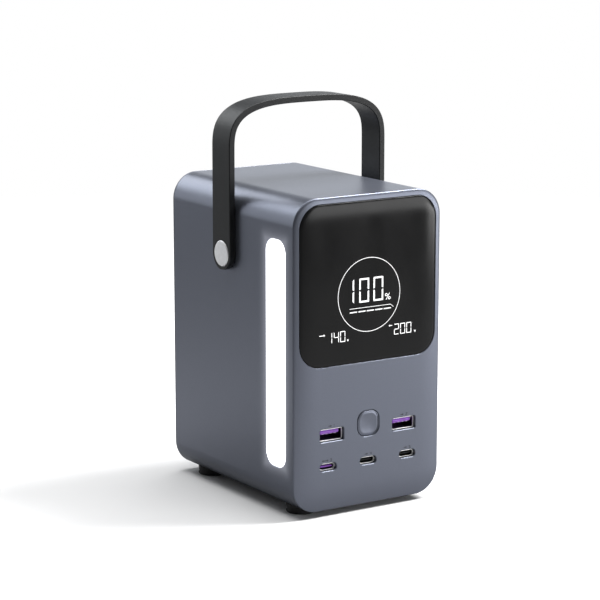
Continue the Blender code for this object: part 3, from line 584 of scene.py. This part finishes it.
def light_finish(name, strength, grain=0.004):
    """A lit white surface: a light guide whose brightness is very slightly uneven."""
    shader = Shader(name, (0.8, 0.8, 0.8), 0.5)
    shader.set("Emission Color", (*WHITE, 1))
    glow = shader.ramp(shader.noise(grain), strength * 0.96, strength * 1.04)
    shader.link(glow, shader.bsdf.inputs["Emission Strength"])
    return shader.material


def strap_finish():
    """Soft-touch black elastomer over a stiff core, with a very fine moulded grain."""
    shader = Shader("strap_soft_black", STRAP_COLOUR, 0.42)
    shader.set("Specular IOR Level", 0.30)
    grain = shader.noise(0.00022, detail=3.0, roughness=0.6)
    shader.vary_colour(shader.noise(0.006, detail=3.0), 0.88, 1.14)
    shader.vary_roughness(grain, 0.38, 0.48)
    shader.bump(grain, 0.00002)
    return shader.material


def metal_finish(name, colour, roughness):
    """Bare or plated metal with a fine blasted grain."""
    shader = Shader(name, colour, roughness, metallic=1.0)
    grain = 0.00018
    fine = shader.noise(grain, detail=3.0)
    shader.vary_colour(shader.noise(grain * 12, detail=3.0), 0.94, 1.04)
    shader.vary_roughness(fine, roughness - 0.05, roughness + 0.06)
    shader.bump(fine, 0.000008)
    return shader.material


def plastic_finish(name, colour, roughness, grain=0.0003, depth=0.00001, specular=0.5):
    """Moulded plastic or rubber with a spark-eroded grain."""
    shader = Shader(name, colour, roughness)
    shader.set("Specular IOR Level", specular)
    fine = shader.noise(grain, detail=3.0)
    shader.vary_colour(shader.noise(grain * 14, detail=2.0), 0.9, 1.1)
    shader.vary_roughness(fine, roughness - 0.06, roughness + 0.06)
    shader.bump(fine, depth)
    return shader.material


SHELL = shell_finish()
LENS = lens_finish()
LAMP = light_finish("lamp_opal", 2.2)
DISPLAY = light_finish("display_lit", 0.80, grain=0.002)
STRAP = strap_finish()
SILVER = metal_finish("cap_silver", (0.86, 0.86, 0.87), 0.50)
STEEL = metal_finish("socket_nickel", (0.86, 0.85, 0.84), 0.38)
# Painted shade: near-black metal for the deep insides of the socket shells.
PAINTED_SHADE_STEEL = metal_finish("socket_nickel_painted_shade", (0.06, 0.06, 0.06), 0.45)
GOLD = metal_finish("contact_gold", (0.85, 0.58, 0.25), 0.25)
SCREW = metal_finish("screw_zinc", (0.45, 0.45, 0.46), 0.35)
PURPLE = plastic_finish("tongue_purple", (0.36, 0.11, 0.70), 0.38)
BLACK = plastic_finish("moulded_black", (0.008, 0.008, 0.009), 0.55, specular=0.3)
RUBBER = plastic_finish("foot_rubber", (0.022, 0.022, 0.023), 0.75, grain=0.0005, depth=0.00003)
PRINT = plastic_finish("printed_grey", (0.022, 0.023, 0.028), 0.50)


# ---- Making the casing --------------------------------------------------------------------------
def end_panel_skin(name, towards):
    """Crowned end of the casing, with a filleted rim at the seam and a short inner wall."""
    seam = SEAM_DEPTH - SEAM_GAP
    face = FACE if towards < 0 else REAR

    def ring(inset, depth):
        return front_ring(body_outline(inset), face - towards * depth, (0, MIDDLE_Z))

    rings = [ring(WALL, seam + PLUG_LENGTH), ring(WALL, seam)]
    for offset, depth in reversed(quarter(SEAM_FILLET)):
        rings.append(ring(depth, seam - offset))
    insets = [RIM_WIDTH * (1 - math.cos(math.pi / 2 * step / RIM_STEPS)) for step in range(RIM_STEPS + 1)]
    widest = BODY_CORNER - PANEL_LEAST_CORNER
    insets += [RIM_WIDTH + (widest - RIM_WIDTH) * step / CROWN_STEPS for step in range(1, CROWN_STEPS + 1)]
    rings += [ring(inset, crown_drop(inset)) for inset in insets]
    for share in PANEL_SHARES:
        inner = scaled(body_outline(insets[-1]), share)
        drops = [crown_drop(depth_inside(u, MIDDLE_Z + v)) for u, v in inner]
        rings.append([(u, face - towards * drop, MIDDLE_Z + v) for (u, v), drop in zip(inner, drops)])
    return skin(name, rings)


def filleted_hole(name, outline_at, centre, radius, depth):
    """A cutter for a hole in the crowned front, with a fillet that follows the face.

    outline_at(offset) gives the hole's outline grown by an offset.
    """
    rings = [front_ring(outline_at(radius), FRONT - CUTTER_START, centre)]
    rings.append(hugging_ring(outline_at(radius), -CUTTER_LEAD * radius, centre))
    rings += [hugging_ring(outline_at(offset), behind, centre) for offset, behind in quarter(radius)[1:]]
    rings.append(front_ring(outline_at(0), FRONT + depth, centre))
    return skin(name, rings)


def socket_box(name):
    """Width, height and centre (x, z) of a socket's shell."""
    low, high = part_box(name + "_shell")
    return high[0] - low[0], high[2] - low[2], ((low[0] + high[0]) / 2, (low[2] + high[2]) / 2)


def socket_mouth(name, kind):
    """A cutter for the panel's opening around a socket's shell."""
    width, height, centre = socket_box(name)
    corner = SOCKET_CORNERS[kind] + MOUTH_GAP
    outline = rect_outline(width + 2 * MOUTH_GAP, height + 2 * MOUTH_GAP, corner, SMALL_CORNER_STEPS)
    return filleted_hole(name + "_mouth", outline, centre, MOUTH_FILLET, HOLE_DEPTH)


def make_front_panel():
    """The crowned front with the lens recess, the button hole and the socket mouths."""
    panel = end_panel_skin("front_panel_skin", -1)
    lens = rect_outline(LENS_WIDTH + 2 * LENS_GAP, LENS_HEIGHT + 2 * LENS_GAP, LENS_CORNER + LENS_GAP)
    hole_size = BUTTON_FACE + 2 * BUTTON_GAP
    button = rect_outline(hole_size, hole_size, BUTTON_CORNER + BUTTON_GAP)
    tools = [
        filleted_hole("lens_recess", lens, LENS_CENTRE, RECESS_FILLET, RECESS_DEPTH),
        filleted_hole("button_hole", button, BUTTON_CENTRE, BUTTON_HOLE_FILLET, HOLE_DEPTH),
    ]
    tools += [socket_mouth(name, kind) for name, kind, _ in SOCKETS]
    cut(panel, tools)
    piece(panel, SHELL, ["front_panel"])


def make_rear_cover():
    """The plain crowned end at the back."""
    piece(end_panel_skin("rear_cover_skin", 1), SHELL, ["rear_cover"])


def sleeve_tube():
    """The plain tube, with filleted ends."""
    front_end, rear_end = FRONT + SEAM_DEPTH, REAR - SEAM_DEPTH
    profile = [(WALL, front_end)]
    profile += [(depth, front_end + offset) for offset, depth in reversed(quarter(SEAM_FILLET))]
    profile += [(depth, rear_end - offset) for offset, depth in quarter(SEAM_FILLET)]
    profile.append((WALL, rear_end))
    rings = [front_ring(body_outline(inset), y, (0, MIDDLE_Z)) for inset, y in profile]
    tube = skin("housing_sleeve_skin", rings + [rings[0]], closed=False)
    weld(tube)
    return tube


def lamp_window():
    """A cutter for the lamp's opening in the left side."""
    size = (2 * LAMP_HALF_WIDTH + 2 * LAMP_GAP, 2 * LAMP_HALF_HEIGHT + 2 * LAMP_GAP)
    window = rect_outline(*size, LAMP_CORNER + LAMP_GAP)
    radius = LAMP_WINDOW_FILLET
    rings = [side_ring(window(radius), -SIDE - CUTTER_START, LAMP_CENTRE)]
    rings.append(side_ring(window(radius), -SIDE - CUTTER_LEAD * radius, LAMP_CENTRE))
    rings += [side_ring(window(offset), -SIDE + depth, LAMP_CENTRE) for offset, depth in quarter(radius)[1:]]
    rings.append(side_ring(window(0), -SIDE + WALL + CUTTER_PASS, LAMP_CENTRE))
    return skin("lamp_window", rings)


def foot_place(name):
    """Radius and centre of a foot, at the level of the floor."""
    low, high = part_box(name)
    return (high[0] - low[0]) / 2, Vector(((low[0] + high[0]) / 2, (low[1] + high[1]) / 2, 0))


def foot_recess(name):
    """A cutter for the pocket that a foot sits in."""
    radius, centre = foot_place(name)
    levels = (BASE - CUTTER_START, BASE + WALL - FOOT_FLOOR)
    return skin(name + "_recess", [level_ring(radius + FOOT_GAP, level, centre) for level in levels])


def make_sleeve():
    """The tube with filleted ends, the lamp window and the foot recesses."""
    tube = sleeve_tube()
    cut(tube, [lamp_window()] + [foot_recess(name) for name in FEET])
    piece(tube, SHELL, ["housing_sleeve"])


def make_feet():
    """Moulded rubber discs with a rounded rim and a shallow dished sole."""
    for name in FEET:
        radius, centre = foot_place(name)
        profile = [(radius, BASE + WALL - FOOT_FLOOR - FOOT_GAP)]
        profile += [(radius - depth, offset) for offset, depth in reversed(quarter(FOOT_FILLET))]
        profile.append((radius - FOOT_TREAD, 0.0))
        profile.append((radius - FOOT_TREAD - FOOT_DISH_SLOPE, FOOT_DISH))
        profile.append((FOOT_DISH_CENTRE, FOOT_DISH))
        rings = [level_ring(r, level, centre) for r, level in profile]
        piece(skin(name + "_rubber", rings), RUBBER, [name])


# ---- Making the display -------------------------------------------------------------------------
def make_lens():
    """The lens: flat in the middle, crowned with the panel near its edge, with a polished fillet."""
    base = rect_outline(LENS_WIDTH, LENS_HEIGHT, LENS_CORNER)
    rings = [front_ring(base(0), LENS_HIGH[1], LENS_CENTRE)]
    for offset, depth in reversed(quarter(LENS_FILLET)):
        rings.append(hugging_ring(base(-depth), offset, LENS_CENTRE))
    widest = LENS_CORNER - LENS_LEAST_CORNER
    for step in range(1, CROWN_STEPS + 1):
        inset = LENS_FILLET + (widest - LENS_FILLET) * step / CROWN_STEPS
        rings.append(hugging_ring(base(-inset), 0, LENS_CENTRE))
    for share in LENS_SHARES:
        rings.append(hugging_ring(scaled(base(-widest), share), 0, LENS_CENTRE))
    piece(skin("display_lens_skin", rings), LENS, ["display_lens"])


def slab(name, outline, centre=(0, 0)):
    """A thin printed or lit shape just proud of the flat face."""
    near = FRONT + GRAPHIC_DEPTH
    far = near + GRAPHIC_THICKNESS
    return skin(name, [front_ring(outline, y, centre) for y in (near, far)])


def ring_slab(name, radius, line, centre):
    """A thin ring, made as a closed tube of rectangular section."""
    near = FRONT + GRAPHIC_DEPTH
    far = near + GRAPHIC_THICKNESS
    inner, outer = radius - line / 2, radius + line / 2
    section = ((inner, near), (outer, near), (outer, far), (inner, far))
    rings = [front_ring(circle(r, RING_STEPS), y, centre) for r, y in section]
    return skin(name, rings + [rings[0]], closed=False)


def digit_segments(character, width, height, line):
    """Outlines of the seven-segment shape of a digit, from its lower left corner."""
    gap = line * SEGMENT_GAP
    split = line * SEGMENT_SPLIT
    notch = line * SEGMENT_NOTCH
    middle = height / 2
    segments = {
        "top": [(gap, height), (line, height - line), (width - line, height - line), (width - gap, height)],
        "bottom": [(gap, 0), (width - gap, 0), (width - line, line), (line, line)],
        "middle": [
            (line / 2, middle),
            (line, middle - line / 2),
            (width - line, middle - line / 2),
            (width - line / 2, middle),
            (width - line, middle + line / 2),
            (line, middle + line / 2),
        ],
        "upper_left": [
            (0, height - gap),
            (0, middle + split),
            (line, middle + notch),
            (line, height - line - gap),
        ],
        "lower_left": [(0, gap), (line, line + gap), (line, middle - notch), (0, middle - split)],
    }
    for side in ("upper", "lower"):
        segments[side + "_right"] = [(width - u, v) for u, v in segments[side + "_left"]][::-1]
    return [segments[name] for name in DIGITS[character]]


def number_slabs(name, text, left, bottom, digit):
    """Slabs of a row of digits. A 1 takes little more than the width of its line."""
    width, height, line, pitch = digit
    made = []
    x = left
    for place, character in enumerate(text):
        shift = width - line if character == "1" else 0
        for index, outline in enumerate(digit_segments(character, width, height, line)):
            moved = [(x + u - shift, bottom + v) for u, v in outline]
            made.append(slab(f"{name}_{place}_{index}", moved))
        x += pitch - ONE_TIGHTENS * shift
    return made


def percent_slabs(centre, size):
    """A percent sign: two small rings and a slanted bar."""
    across, up, radius, line = [size * share for share in PERCENT_RING]
    made = []
    for name, sign in (("percent_upper", 1), ("percent_lower", -1)):
        place = (centre[0] - sign * across, centre[1] + sign * up)
        made.append(ring_slab(name, radius, line, place))
    made.append(slab("percent_bar", scaled(PERCENT_BAR, size), centre))
    return made


def arrow_outline(length, height, pointing):
    """A block arrow along the horizontal, about its centre."""
    half, shaft = length / 2, height * ARROW_SHAFT
    head = height * ARROW_HEAD
    points = [(-half, -shaft), (half - head, -shaft), (half - head, -height / 2), (half, 0)]
    points += [(half - head, height / 2), (half - head, shaft), (-half, shaft)]
    if pointing < 0:
        points = [(-u, v) for u, v in points][::-1]
    return points


def level_slabs():
    """The charge level in its ring."""
    parts = [ring_slab("ring", RING_RADIUS, RING_LINE, (0, RING_Z))]
    parts += number_slabs("level", "100", *LEVEL_PLACE, BIG_DIGIT)
    return parts + percent_slabs(PERCENT_PLACE, PERCENT_SIZE)


def charge_slabs():
    """A row of charge cells, and the rule over it with its slanted end."""
    width, thick, lean, pitch = CHARGE_CELL
    base, top = CHARGE_Z, CHARGE_Z + thick
    parts = []
    for number in range(CHARGE_CELLS):
        x = CHARGE_LEFT + number * pitch
        upper = x + lean
        outline = [(x, base), (x + width, base), (upper + width, top), (upper, top)]
        parts.append(slab(f"charge_{number}", outline))

    low = CHARGE_Z + RULE_RISE
    high = low + RULE_LINE
    end_x = CHARGE_LEFT + (CHARGE_CELLS - 1) * pitch + width
    parts.append(slab("rule", [(CHARGE_LEFT, low), (end_x, low), (end_x, high), (CHARGE_LEFT, high)]))
    far_x, far_low = end_x + RULE_FALL, low - RULE_FALL * RULE_SLOPE
    slant = [(end_x, low), (far_x, far_low), (far_x, far_low + RULE_LINE * RULE_END_LINE), (end_x, high)]
    parts.append(slab("rule_end", slant))
    return parts


def power_slabs():
    """The power out and in, each with its arrow and a small unit sign."""
    parts = number_slabs("power_out", "140", *POWER_OUT, SMALL_DIGIT)
    parts += number_slabs("power_in", "200", *POWER_IN, SMALL_DIGIT)
    parts.append(slab("arrow_out", arrow_outline(*ARROW_OUT), ARROW_OUT_PLACE))
    parts.append(slab("arrow_in", arrow_outline(*ARROW_IN), ARROW_IN_PLACE))
    for name, x, z in UNIT_PLACES:
        parts.append(slab(name, scaled(UNIT_OUTLINE, UNIT_SIZE), (x, z)))
    return parts


def make_display_graphics():
    """Everything that lights up behind the lens."""
    graphics = join("display_graphics", level_slabs() + charge_slabs() + power_slabs())
    piece(graphics, DISPLAY, ["display_module"])


# ---- Making the button and sockets --------------------------------------------------------------
def make_button():
    """Square-round button with a soft rim and a dished face."""
    face = rect_outline(BUTTON_FACE, BUTTON_FACE, BUTTON_CORNER)
    level = FRONT + BUTTON_SINK
    rings = [front_ring(face(0), FRONT + BUTTON_DEPTH, BUTTON_CENTRE)]
    for offset, depth in reversed(quarter(BUTTON_FILLET)):
        rings.append(front_ring(face(-depth), level + offset, BUTTON_CENTRE))
    rim = face(-BUTTON_FILLET)
    for step in range(1, DISH_STEPS + 1):
        share = 1 - BUTTON_DISH_REACH * step / DISH_STEPS
        sunk = BUTTON_DISH * (1 - share * share)
        rings.append(front_ring(scaled(rim, share), level + sunk, BUTTON_CENTRE))
    cap = skin("power_button_cap", rings)
    piece(cap, SHELL, ["power_button"], body="button", degrees=60)


def socket_shell(name, kind):
    """A drawn metal shell with a rolled mouth, with painted shade deeper in: a near-black metal on the inner
    faces.
    """
    width, height, centre = socket_box(name)
    low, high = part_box(name + "_shell")
    outline = rect_outline(width, height, SOCKET_CORNERS[kind], SMALL_CORNER_STEPS)
    mouth, back = low[1] + SHELL_SINK, high[1]
    rolled = mouth + SHELL_ROLL
    profile = [(0, back), (0, rolled), (-SHELL_ROLL, mouth), (SHELL_ROLL - SHELL_WALL, mouth)]
    profile += [(-SHELL_WALL, rolled), (-SHELL_WALL, mouth + PAINTED_SHADE_START), (-SHELL_WALL, back - SHELL_BACK)]
    rings = [front_ring(outline(offset), y, centre) for offset, y in profile]
    shell = skin(name + "_shell_drawn", rings)
    piece(shell, STEEL, [name + "_shell"], degrees=50)
    # Painted shade: the faces deeper in get the near-black metal.
    shell.data.materials.append(PAINTED_SHADE_STEEL)
    for face in shell.data.polygons:
        if face.center.y > mouth + PAINTED_SHADE_START:
            face.material_index = 1


def bevelled_block(name, low, high, bevel):
    """A block whose front and long edges are rounded."""
    width, height = high[0] - low[0], high[2] - low[2]
    centre = ((low[0] + high[0]) / 2, (low[2] + high[2]) / 2)
    outline = rect_outline(width, height, bevel, EDGE_STEPS)
    profile = [(-depth * BEVEL_INSET, low[1] + offset) for offset, depth in reversed(quarter(bevel))]
    profile.append((0, high[1]))
    return skin(name, [front_ring(outline(offset), y, centre) for offset, y in profile])


def socket_contacts(name, kind, blade_low, back):
    """A row of contacts on the underside of the tongue."""
    x, z = socket_box(name)[2]
    row = CONTACTS[kind]
    underside = z + TONGUES[kind]["z"][0]
    made = []
    for number in range(row["count"]):
        contact_x = x + row["first"] + row["pitch"] * number
        start = (contact_x - row["half"], blade_low[1] + CONTACT_SINK, underside - CONTACT_PROUD)
        end = (contact_x + row["half"], back - TONGUE_BASE_DEPTH, underside + CONTACT_BURIED)
        made.append(bevelled_block(f"contact_{number}", start, end, CONTACT_BEVEL))
    piece(join(name + "_contacts", made), GOLD if kind == "c" else STEEL)


def socket_inside(name, kind, tint):
    """The tongue on its base, and the contacts."""
    width, height, (x, z) = socket_box(name)
    tongue_shape = TONGUES[kind]
    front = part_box(name + "_shell")[0][1] + SHELL_SINK + tongue_shape["sink"]
    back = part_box(name + "_tongue")[1][1]
    low = (x + tongue_shape["x"][0], front, z + tongue_shape["z"][0])
    high = (x + tongue_shape["x"][1], back, z + tongue_shape["z"][1])
    half_width = width / 2 - TONGUE_BASE[0]
    half_height = height / 2 - TONGUE_BASE[1]
    base_low = (x - half_width, back - TONGUE_BASE_DEPTH, z - half_height)
    base_high = (x + half_width, back, z + half_height)
    base = bevelled_block("base", base_low, base_high, TONGUE_BASE_BEVEL)
    blade = bevelled_block("blade", low, high, tongue_shape["bevel"])
    tongue = join(name + "_tongue_moulded", [blade, base])
    piece(tongue, PURPLE if tint == "purple" else BLACK, [name + "_tongue"])
    socket_contacts(name, kind, low, back)


def make_sockets():
    """The shell, the tongue and the contacts of each socket."""
    for name, kind, tint in SOCKETS:
        socket_shell(name, kind)
        socket_inside(name, kind, tint)


def make_socket_marks():
    """A small printed arrow or two and a number over each socket."""
    parts = []
    for number, (name, _, _) in enumerate(SOCKETS, 1):
        _, height, (x, z) = socket_box(name)
        level = z + height / 2 + MARK_RISE
        arrows = MARKS_BOTH_WAYS if name == "usb_c_left" else MARKS_ONE_WAY
        for place, (shift, pointing) in enumerate(arrows):
            outline = arrow_outline(*MARK_ARROW, pointing)
            parts.append(slab(f"mark_{number}_{place}", outline, (x + shift * MM, level)))
        corner = (x + MARK_NUMBER[0], level + MARK_NUMBER[1])
        parts += number_slabs(f"count_{number}", str(number), *corner, MARK_DIGIT)
    piece(join("socket_marks", parts), PRINT)


# ---- Making the lamp ----------------------------------------------------------------------------
def make_lamp():
    """Opal diffuser, very slightly domed out of its window."""
    outline = rect_outline(2 * LAMP_HALF_WIDTH - LAMP_GAP, 2 * LAMP_HALF_HEIGHT - LAMP_GAP, LAMP_CORNER)
    rings = [side_ring(outline(0), LAMP_HIGH[0], LAMP_CENTRE)]
    edge = -SIDE + LAMP_SINK
    for step in range(DOME_STEPS + 1):
        turn = math.pi / 2 * step / DOME_STEPS
        inset = LAMP_DOME_WIDTH * (1 - math.cos(turn))
        rings.append(side_ring(outline(-inset), edge - LAMP_DOME * math.sin(turn), LAMP_CENTRE))
    piece(skin("lamp_diffuser", rings), LAMP, ["lamp_lens"])


# ---- Making the handle --------------------------------------------------------------------------
def strap_path():
    """Centre line of the strap seen from the front: (x, z) points from the right tip to the left tip."""
    half = STRAP_HIGH[0] - STRAP_THICKNESS / 2
    rise = STRAP_HIGH[2] - STRAP_THICKNESS / 2 - ARCH_SPRING_Z
    turns = [math.pi / 2 * step / TIP_STEPS for step in range(TIP_STEPS + 1)]
    arm = [(half, PIVOT_Z - STRAP_HALF * math.cos(turn)) for turn in turns]
    arm += [(half, PIVOT_Z + (ARCH_SPRING_Z - PIVOT_Z) * step / ARM_STEPS) for step in range(1, ARM_STEPS)]
    arch = []
    for step in range(2 * ARCH_STEPS + 1):
        turn = math.pi * step / (2 * ARCH_STEPS)
        across, up = math.cos(turn), math.sin(turn)
        x = math.copysign(half * abs(across) ** (2 / ARCH_POWER), across)
        arch.append((x, ARCH_SPRING_Z + rise * max(0.0, up) ** (2 / ARCH_POWER)))
    return arm + arch + [(-x, z) for x, z in reversed(arm)]


def strap_section(half_width, half_thickness):
    """Section of the strap as (across, outwards), slightly crowned on its outer face."""
    radius = min(STRAP_EDGE, half_width * STRAP_ROUNDEST, half_thickness * STRAP_ROUNDEST)
    outline = rounded_rect(2 * half_width, 2 * half_thickness, radius, STRAP_CORNER_STEPS)
    return [(u, v - STRAP_CROWN * (u / half_width) ** 2 if v > 0 else v) for u, v in outline]


def strap_ring(path, index):
    """The strap's section at a point of its path, narrowed in the round tips."""
    x, z = path[index]
    before = path[max(0, index - 1)]
    after = path[min(len(path) - 1, index + 1)]
    along = Vector((after[0] - before[0], after[1] - before[1])).normalized()
    outward = Vector((along.y, -along.x))
    below = max(0.0, PIVOT_Z - z)
    half_width = max(STRAP_LEAST_HALF, math.sqrt(max(0.0, STRAP_HALF ** 2 - below ** 2)))
    over = max(0.0, below - (STRAP_HALF - STRAP_EDGE))
    half_thickness = STRAP_THICKNESS / 2 - STRAP_EDGE + math.sqrt(max(0.0, STRAP_EDGE ** 2 - over ** 2))
    section = strap_section(half_width, half_thickness)
    return [(x + outward.x * out, PIVOT_Y + across, z + outward.y * out) for across, out in section]


def cap_recess(sign):
    """A cutter for the filleted recess around a pivot cap."""
    face = sign * STRAP_HIGH[0]
    radius = (CAP_HIGH[2] - CAP_LOW[2]) / 2 + CAP_RECESS_GAP
    levels = [(radius + CAP_RECESS_FILLET, CAP_RECESS_START)]
    levels += [(radius + offset, -depth - CAP_RECESS_GAP) for offset, depth in quarter(CAP_RECESS_FILLET)]
    levels.append((radius, -CAP_DEPTH))
    rings = [side_ring(circle(r), face + sign * out, (PIVOT_Y, PIVOT_Z)) for r, out in levels]
    return skin("cap_recess", rings)


def make_strap():
    """One section swept along the path, with a recess for each pivot cap."""
    path = strap_path()
    strap = skin("handle_strap_moulded", [strap_ring(path, index) for index in range(len(path))])
    cut(strap, [cap_recess(-1), cap_recess(1)])
    piece(strap, STRAP, ["handle_strap"], body="handle", degrees=45)


def make_caps():
    """Turned caps: a slightly domed face with a bright chamfer."""
    for side_name, sign in (("left", -1), ("right", 1)):
        name = "pivot_cap_" + side_name
        low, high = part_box(name)
        radius = (high[2] - low[2]) / 2
        outer = high[0] if sign > 0 else low[0]
        profile = [(radius, -CAP_DEPTH)]
        profile += [(radius - inset, level) for inset, level in CAP_CHAMFER]
        flat = radius - CAP_CHAMFER[-1][0]
        for step in range(1, CAP_STEPS + 1):
            r = flat * (1 - step / CAP_STEPS)
            profile.append((max(r, CAP_LEAST_RADIUS), -CAP_DOME * (r / radius) ** 2))
        centre = (PIVOT_Y, PIVOT_Z)
        rings = [side_ring(circle(r, CAP_RING_STEPS), outer + sign * out, centre) for r, out in profile]
        piece(skin(name + "_turned", rings), SILVER, [name], body="handle", degrees=25)


# ---- Finishes of the CAD nodes ------------------------------------------------------------------
def finish_cad_nodes():
    """Gives every CAD node a procedural finish by its material slot. Replaced nodes stay hidden."""
    finishes = {
        "screw_steel": SCREW,
        "socket_steel": STEEL,
        "busbar_nickel": STEEL,
        "cap_silver": SILVER,
        "board_green": plastic_finish("board_mask", (0.010, 0.110, 0.050), 0.40),
        "cell_wrap": plastic_finish("cell_sleeve", (0.030, 0.120, 0.420), 0.32),
        "lead_red": plastic_finish("lead_red_sleeve", (0.55, 0.02, 0.02), 0.45),
        "lamp_white": plastic_finish("reflector_white", (0.85, 0.86, 0.87), 0.45),
    }
    slots = {row["node"]: row["material_slot"] for row in frame["record"]["subparts"]}
    for name, node in frame["nodes"].items():
        node.data.materials.clear()
        node.data.materials.append(finishes.get(slots[name], BLACK))


# ---- Stage, light and camera --------------------------------------------------------------------
def aimed(data, place, aim):
    """A linked light or camera at a place, turned towards a point."""
    obj = linked(bpy.data.objects.new(data.name, data))
    obj.location = place
    obj.rotation_euler = (Vector(aim) - Vector(place)).to_track_quat("-Z", "Y").to_euler()
    return obj


def make_stage():
    """A white floor that fades into the white surroundings."""
    outline = [(-PAPER_HALF, -PAPER_HALF), (PAPER_HALF, -PAPER_HALF)]
    outline += [(PAPER_HALF, PAPER_HALF), (-PAPER_HALF, PAPER_HALF)]
    shape = bmesh.new()
    shape.faces.new([shape.verts.new((x, y, PAPER_LEVEL)) for x, y in outline])
    floor = mesh_object("floor", shape)
    paper = Shader("paper_white", PAPER_COLOUR, 1.0)
    paper.set("Specular IOR Level", 0.0)
    seen = paper.node("ShaderNodeLightPath").outputs["Is Camera Ray"]
    paper.link(paper.ramp(seen, PAPER_BOUNCE, PAPER_SEEN, 0.0, 1.0), paper.bsdf.inputs["Base Color"])
    distance = paper.vector("LENGTH", paper.place)
    paper.link(paper.ramp(distance, 1.0, 0.0, *PAPER_FADE), paper.bsdf.inputs["Alpha"])
    floor.data.materials.append(paper.material)


def make_lights():
    """Rectangular softboxes, aimed at the object and not seen themselves."""
    for name, place, size, power in LIGHTS:
        data = bpy.data.lights.new(name, "AREA")
        data.shape = "RECTANGLE"
        data.size, data.size_y = size
        data.energy = power
        data.color = SKY_TINT if name.startswith("back") else WHITE
        aimed(data, place, LIGHT_AIM).visible_camera = False


def make_world():
    """White surroundings that light the object only a little."""
    world = bpy.data.worlds.new("studio")
    world.use_nodes = True
    nodes, links = world.node_tree.nodes, world.node_tree.links
    background = nodes["Background"]
    background.inputs["Color"].default_value = (*WHITE, 1)
    path = nodes.new("ShaderNodeLightPath")
    strength = nodes.new("ShaderNodeMapRange")
    strength.inputs["To Min"].default_value = WORLD_LIGHT
    strength.inputs["To Max"].default_value = 1.0
    links.new(path.outputs["Is Camera Ray"], strength.inputs["Value"])
    links.new(strength.outputs["Result"], background.inputs["Strength"])
    bpy.context.scene.world = world


def make_camera():
    """Three-quarter view from the front left, a little above the top."""
    data = bpy.data.cameras.new("camera")
    data.lens = CAMERA_LENS
    data.sensor_width = CAMERA_SENSOR
    bpy.context.scene.camera = aimed(data, CAMERA_PLACE, CAMERA_AIM)


def set_view():
    """Plain display colours, with no tone mapping."""
    view = bpy.context.scene.view_settings
    view.view_transform = "Standard"
    view.look = "None"
    view.exposure = 0.0


make_front_panel()
make_rear_cover()
make_sleeve()
make_feet()
make_lens()
make_display_graphics()
make_button()
make_sockets()
make_socket_marks()
make_lamp()
make_strap()
make_caps()
finish_cad_nodes()
make_stage()
make_lights()
make_world()
make_camera()
set_view()
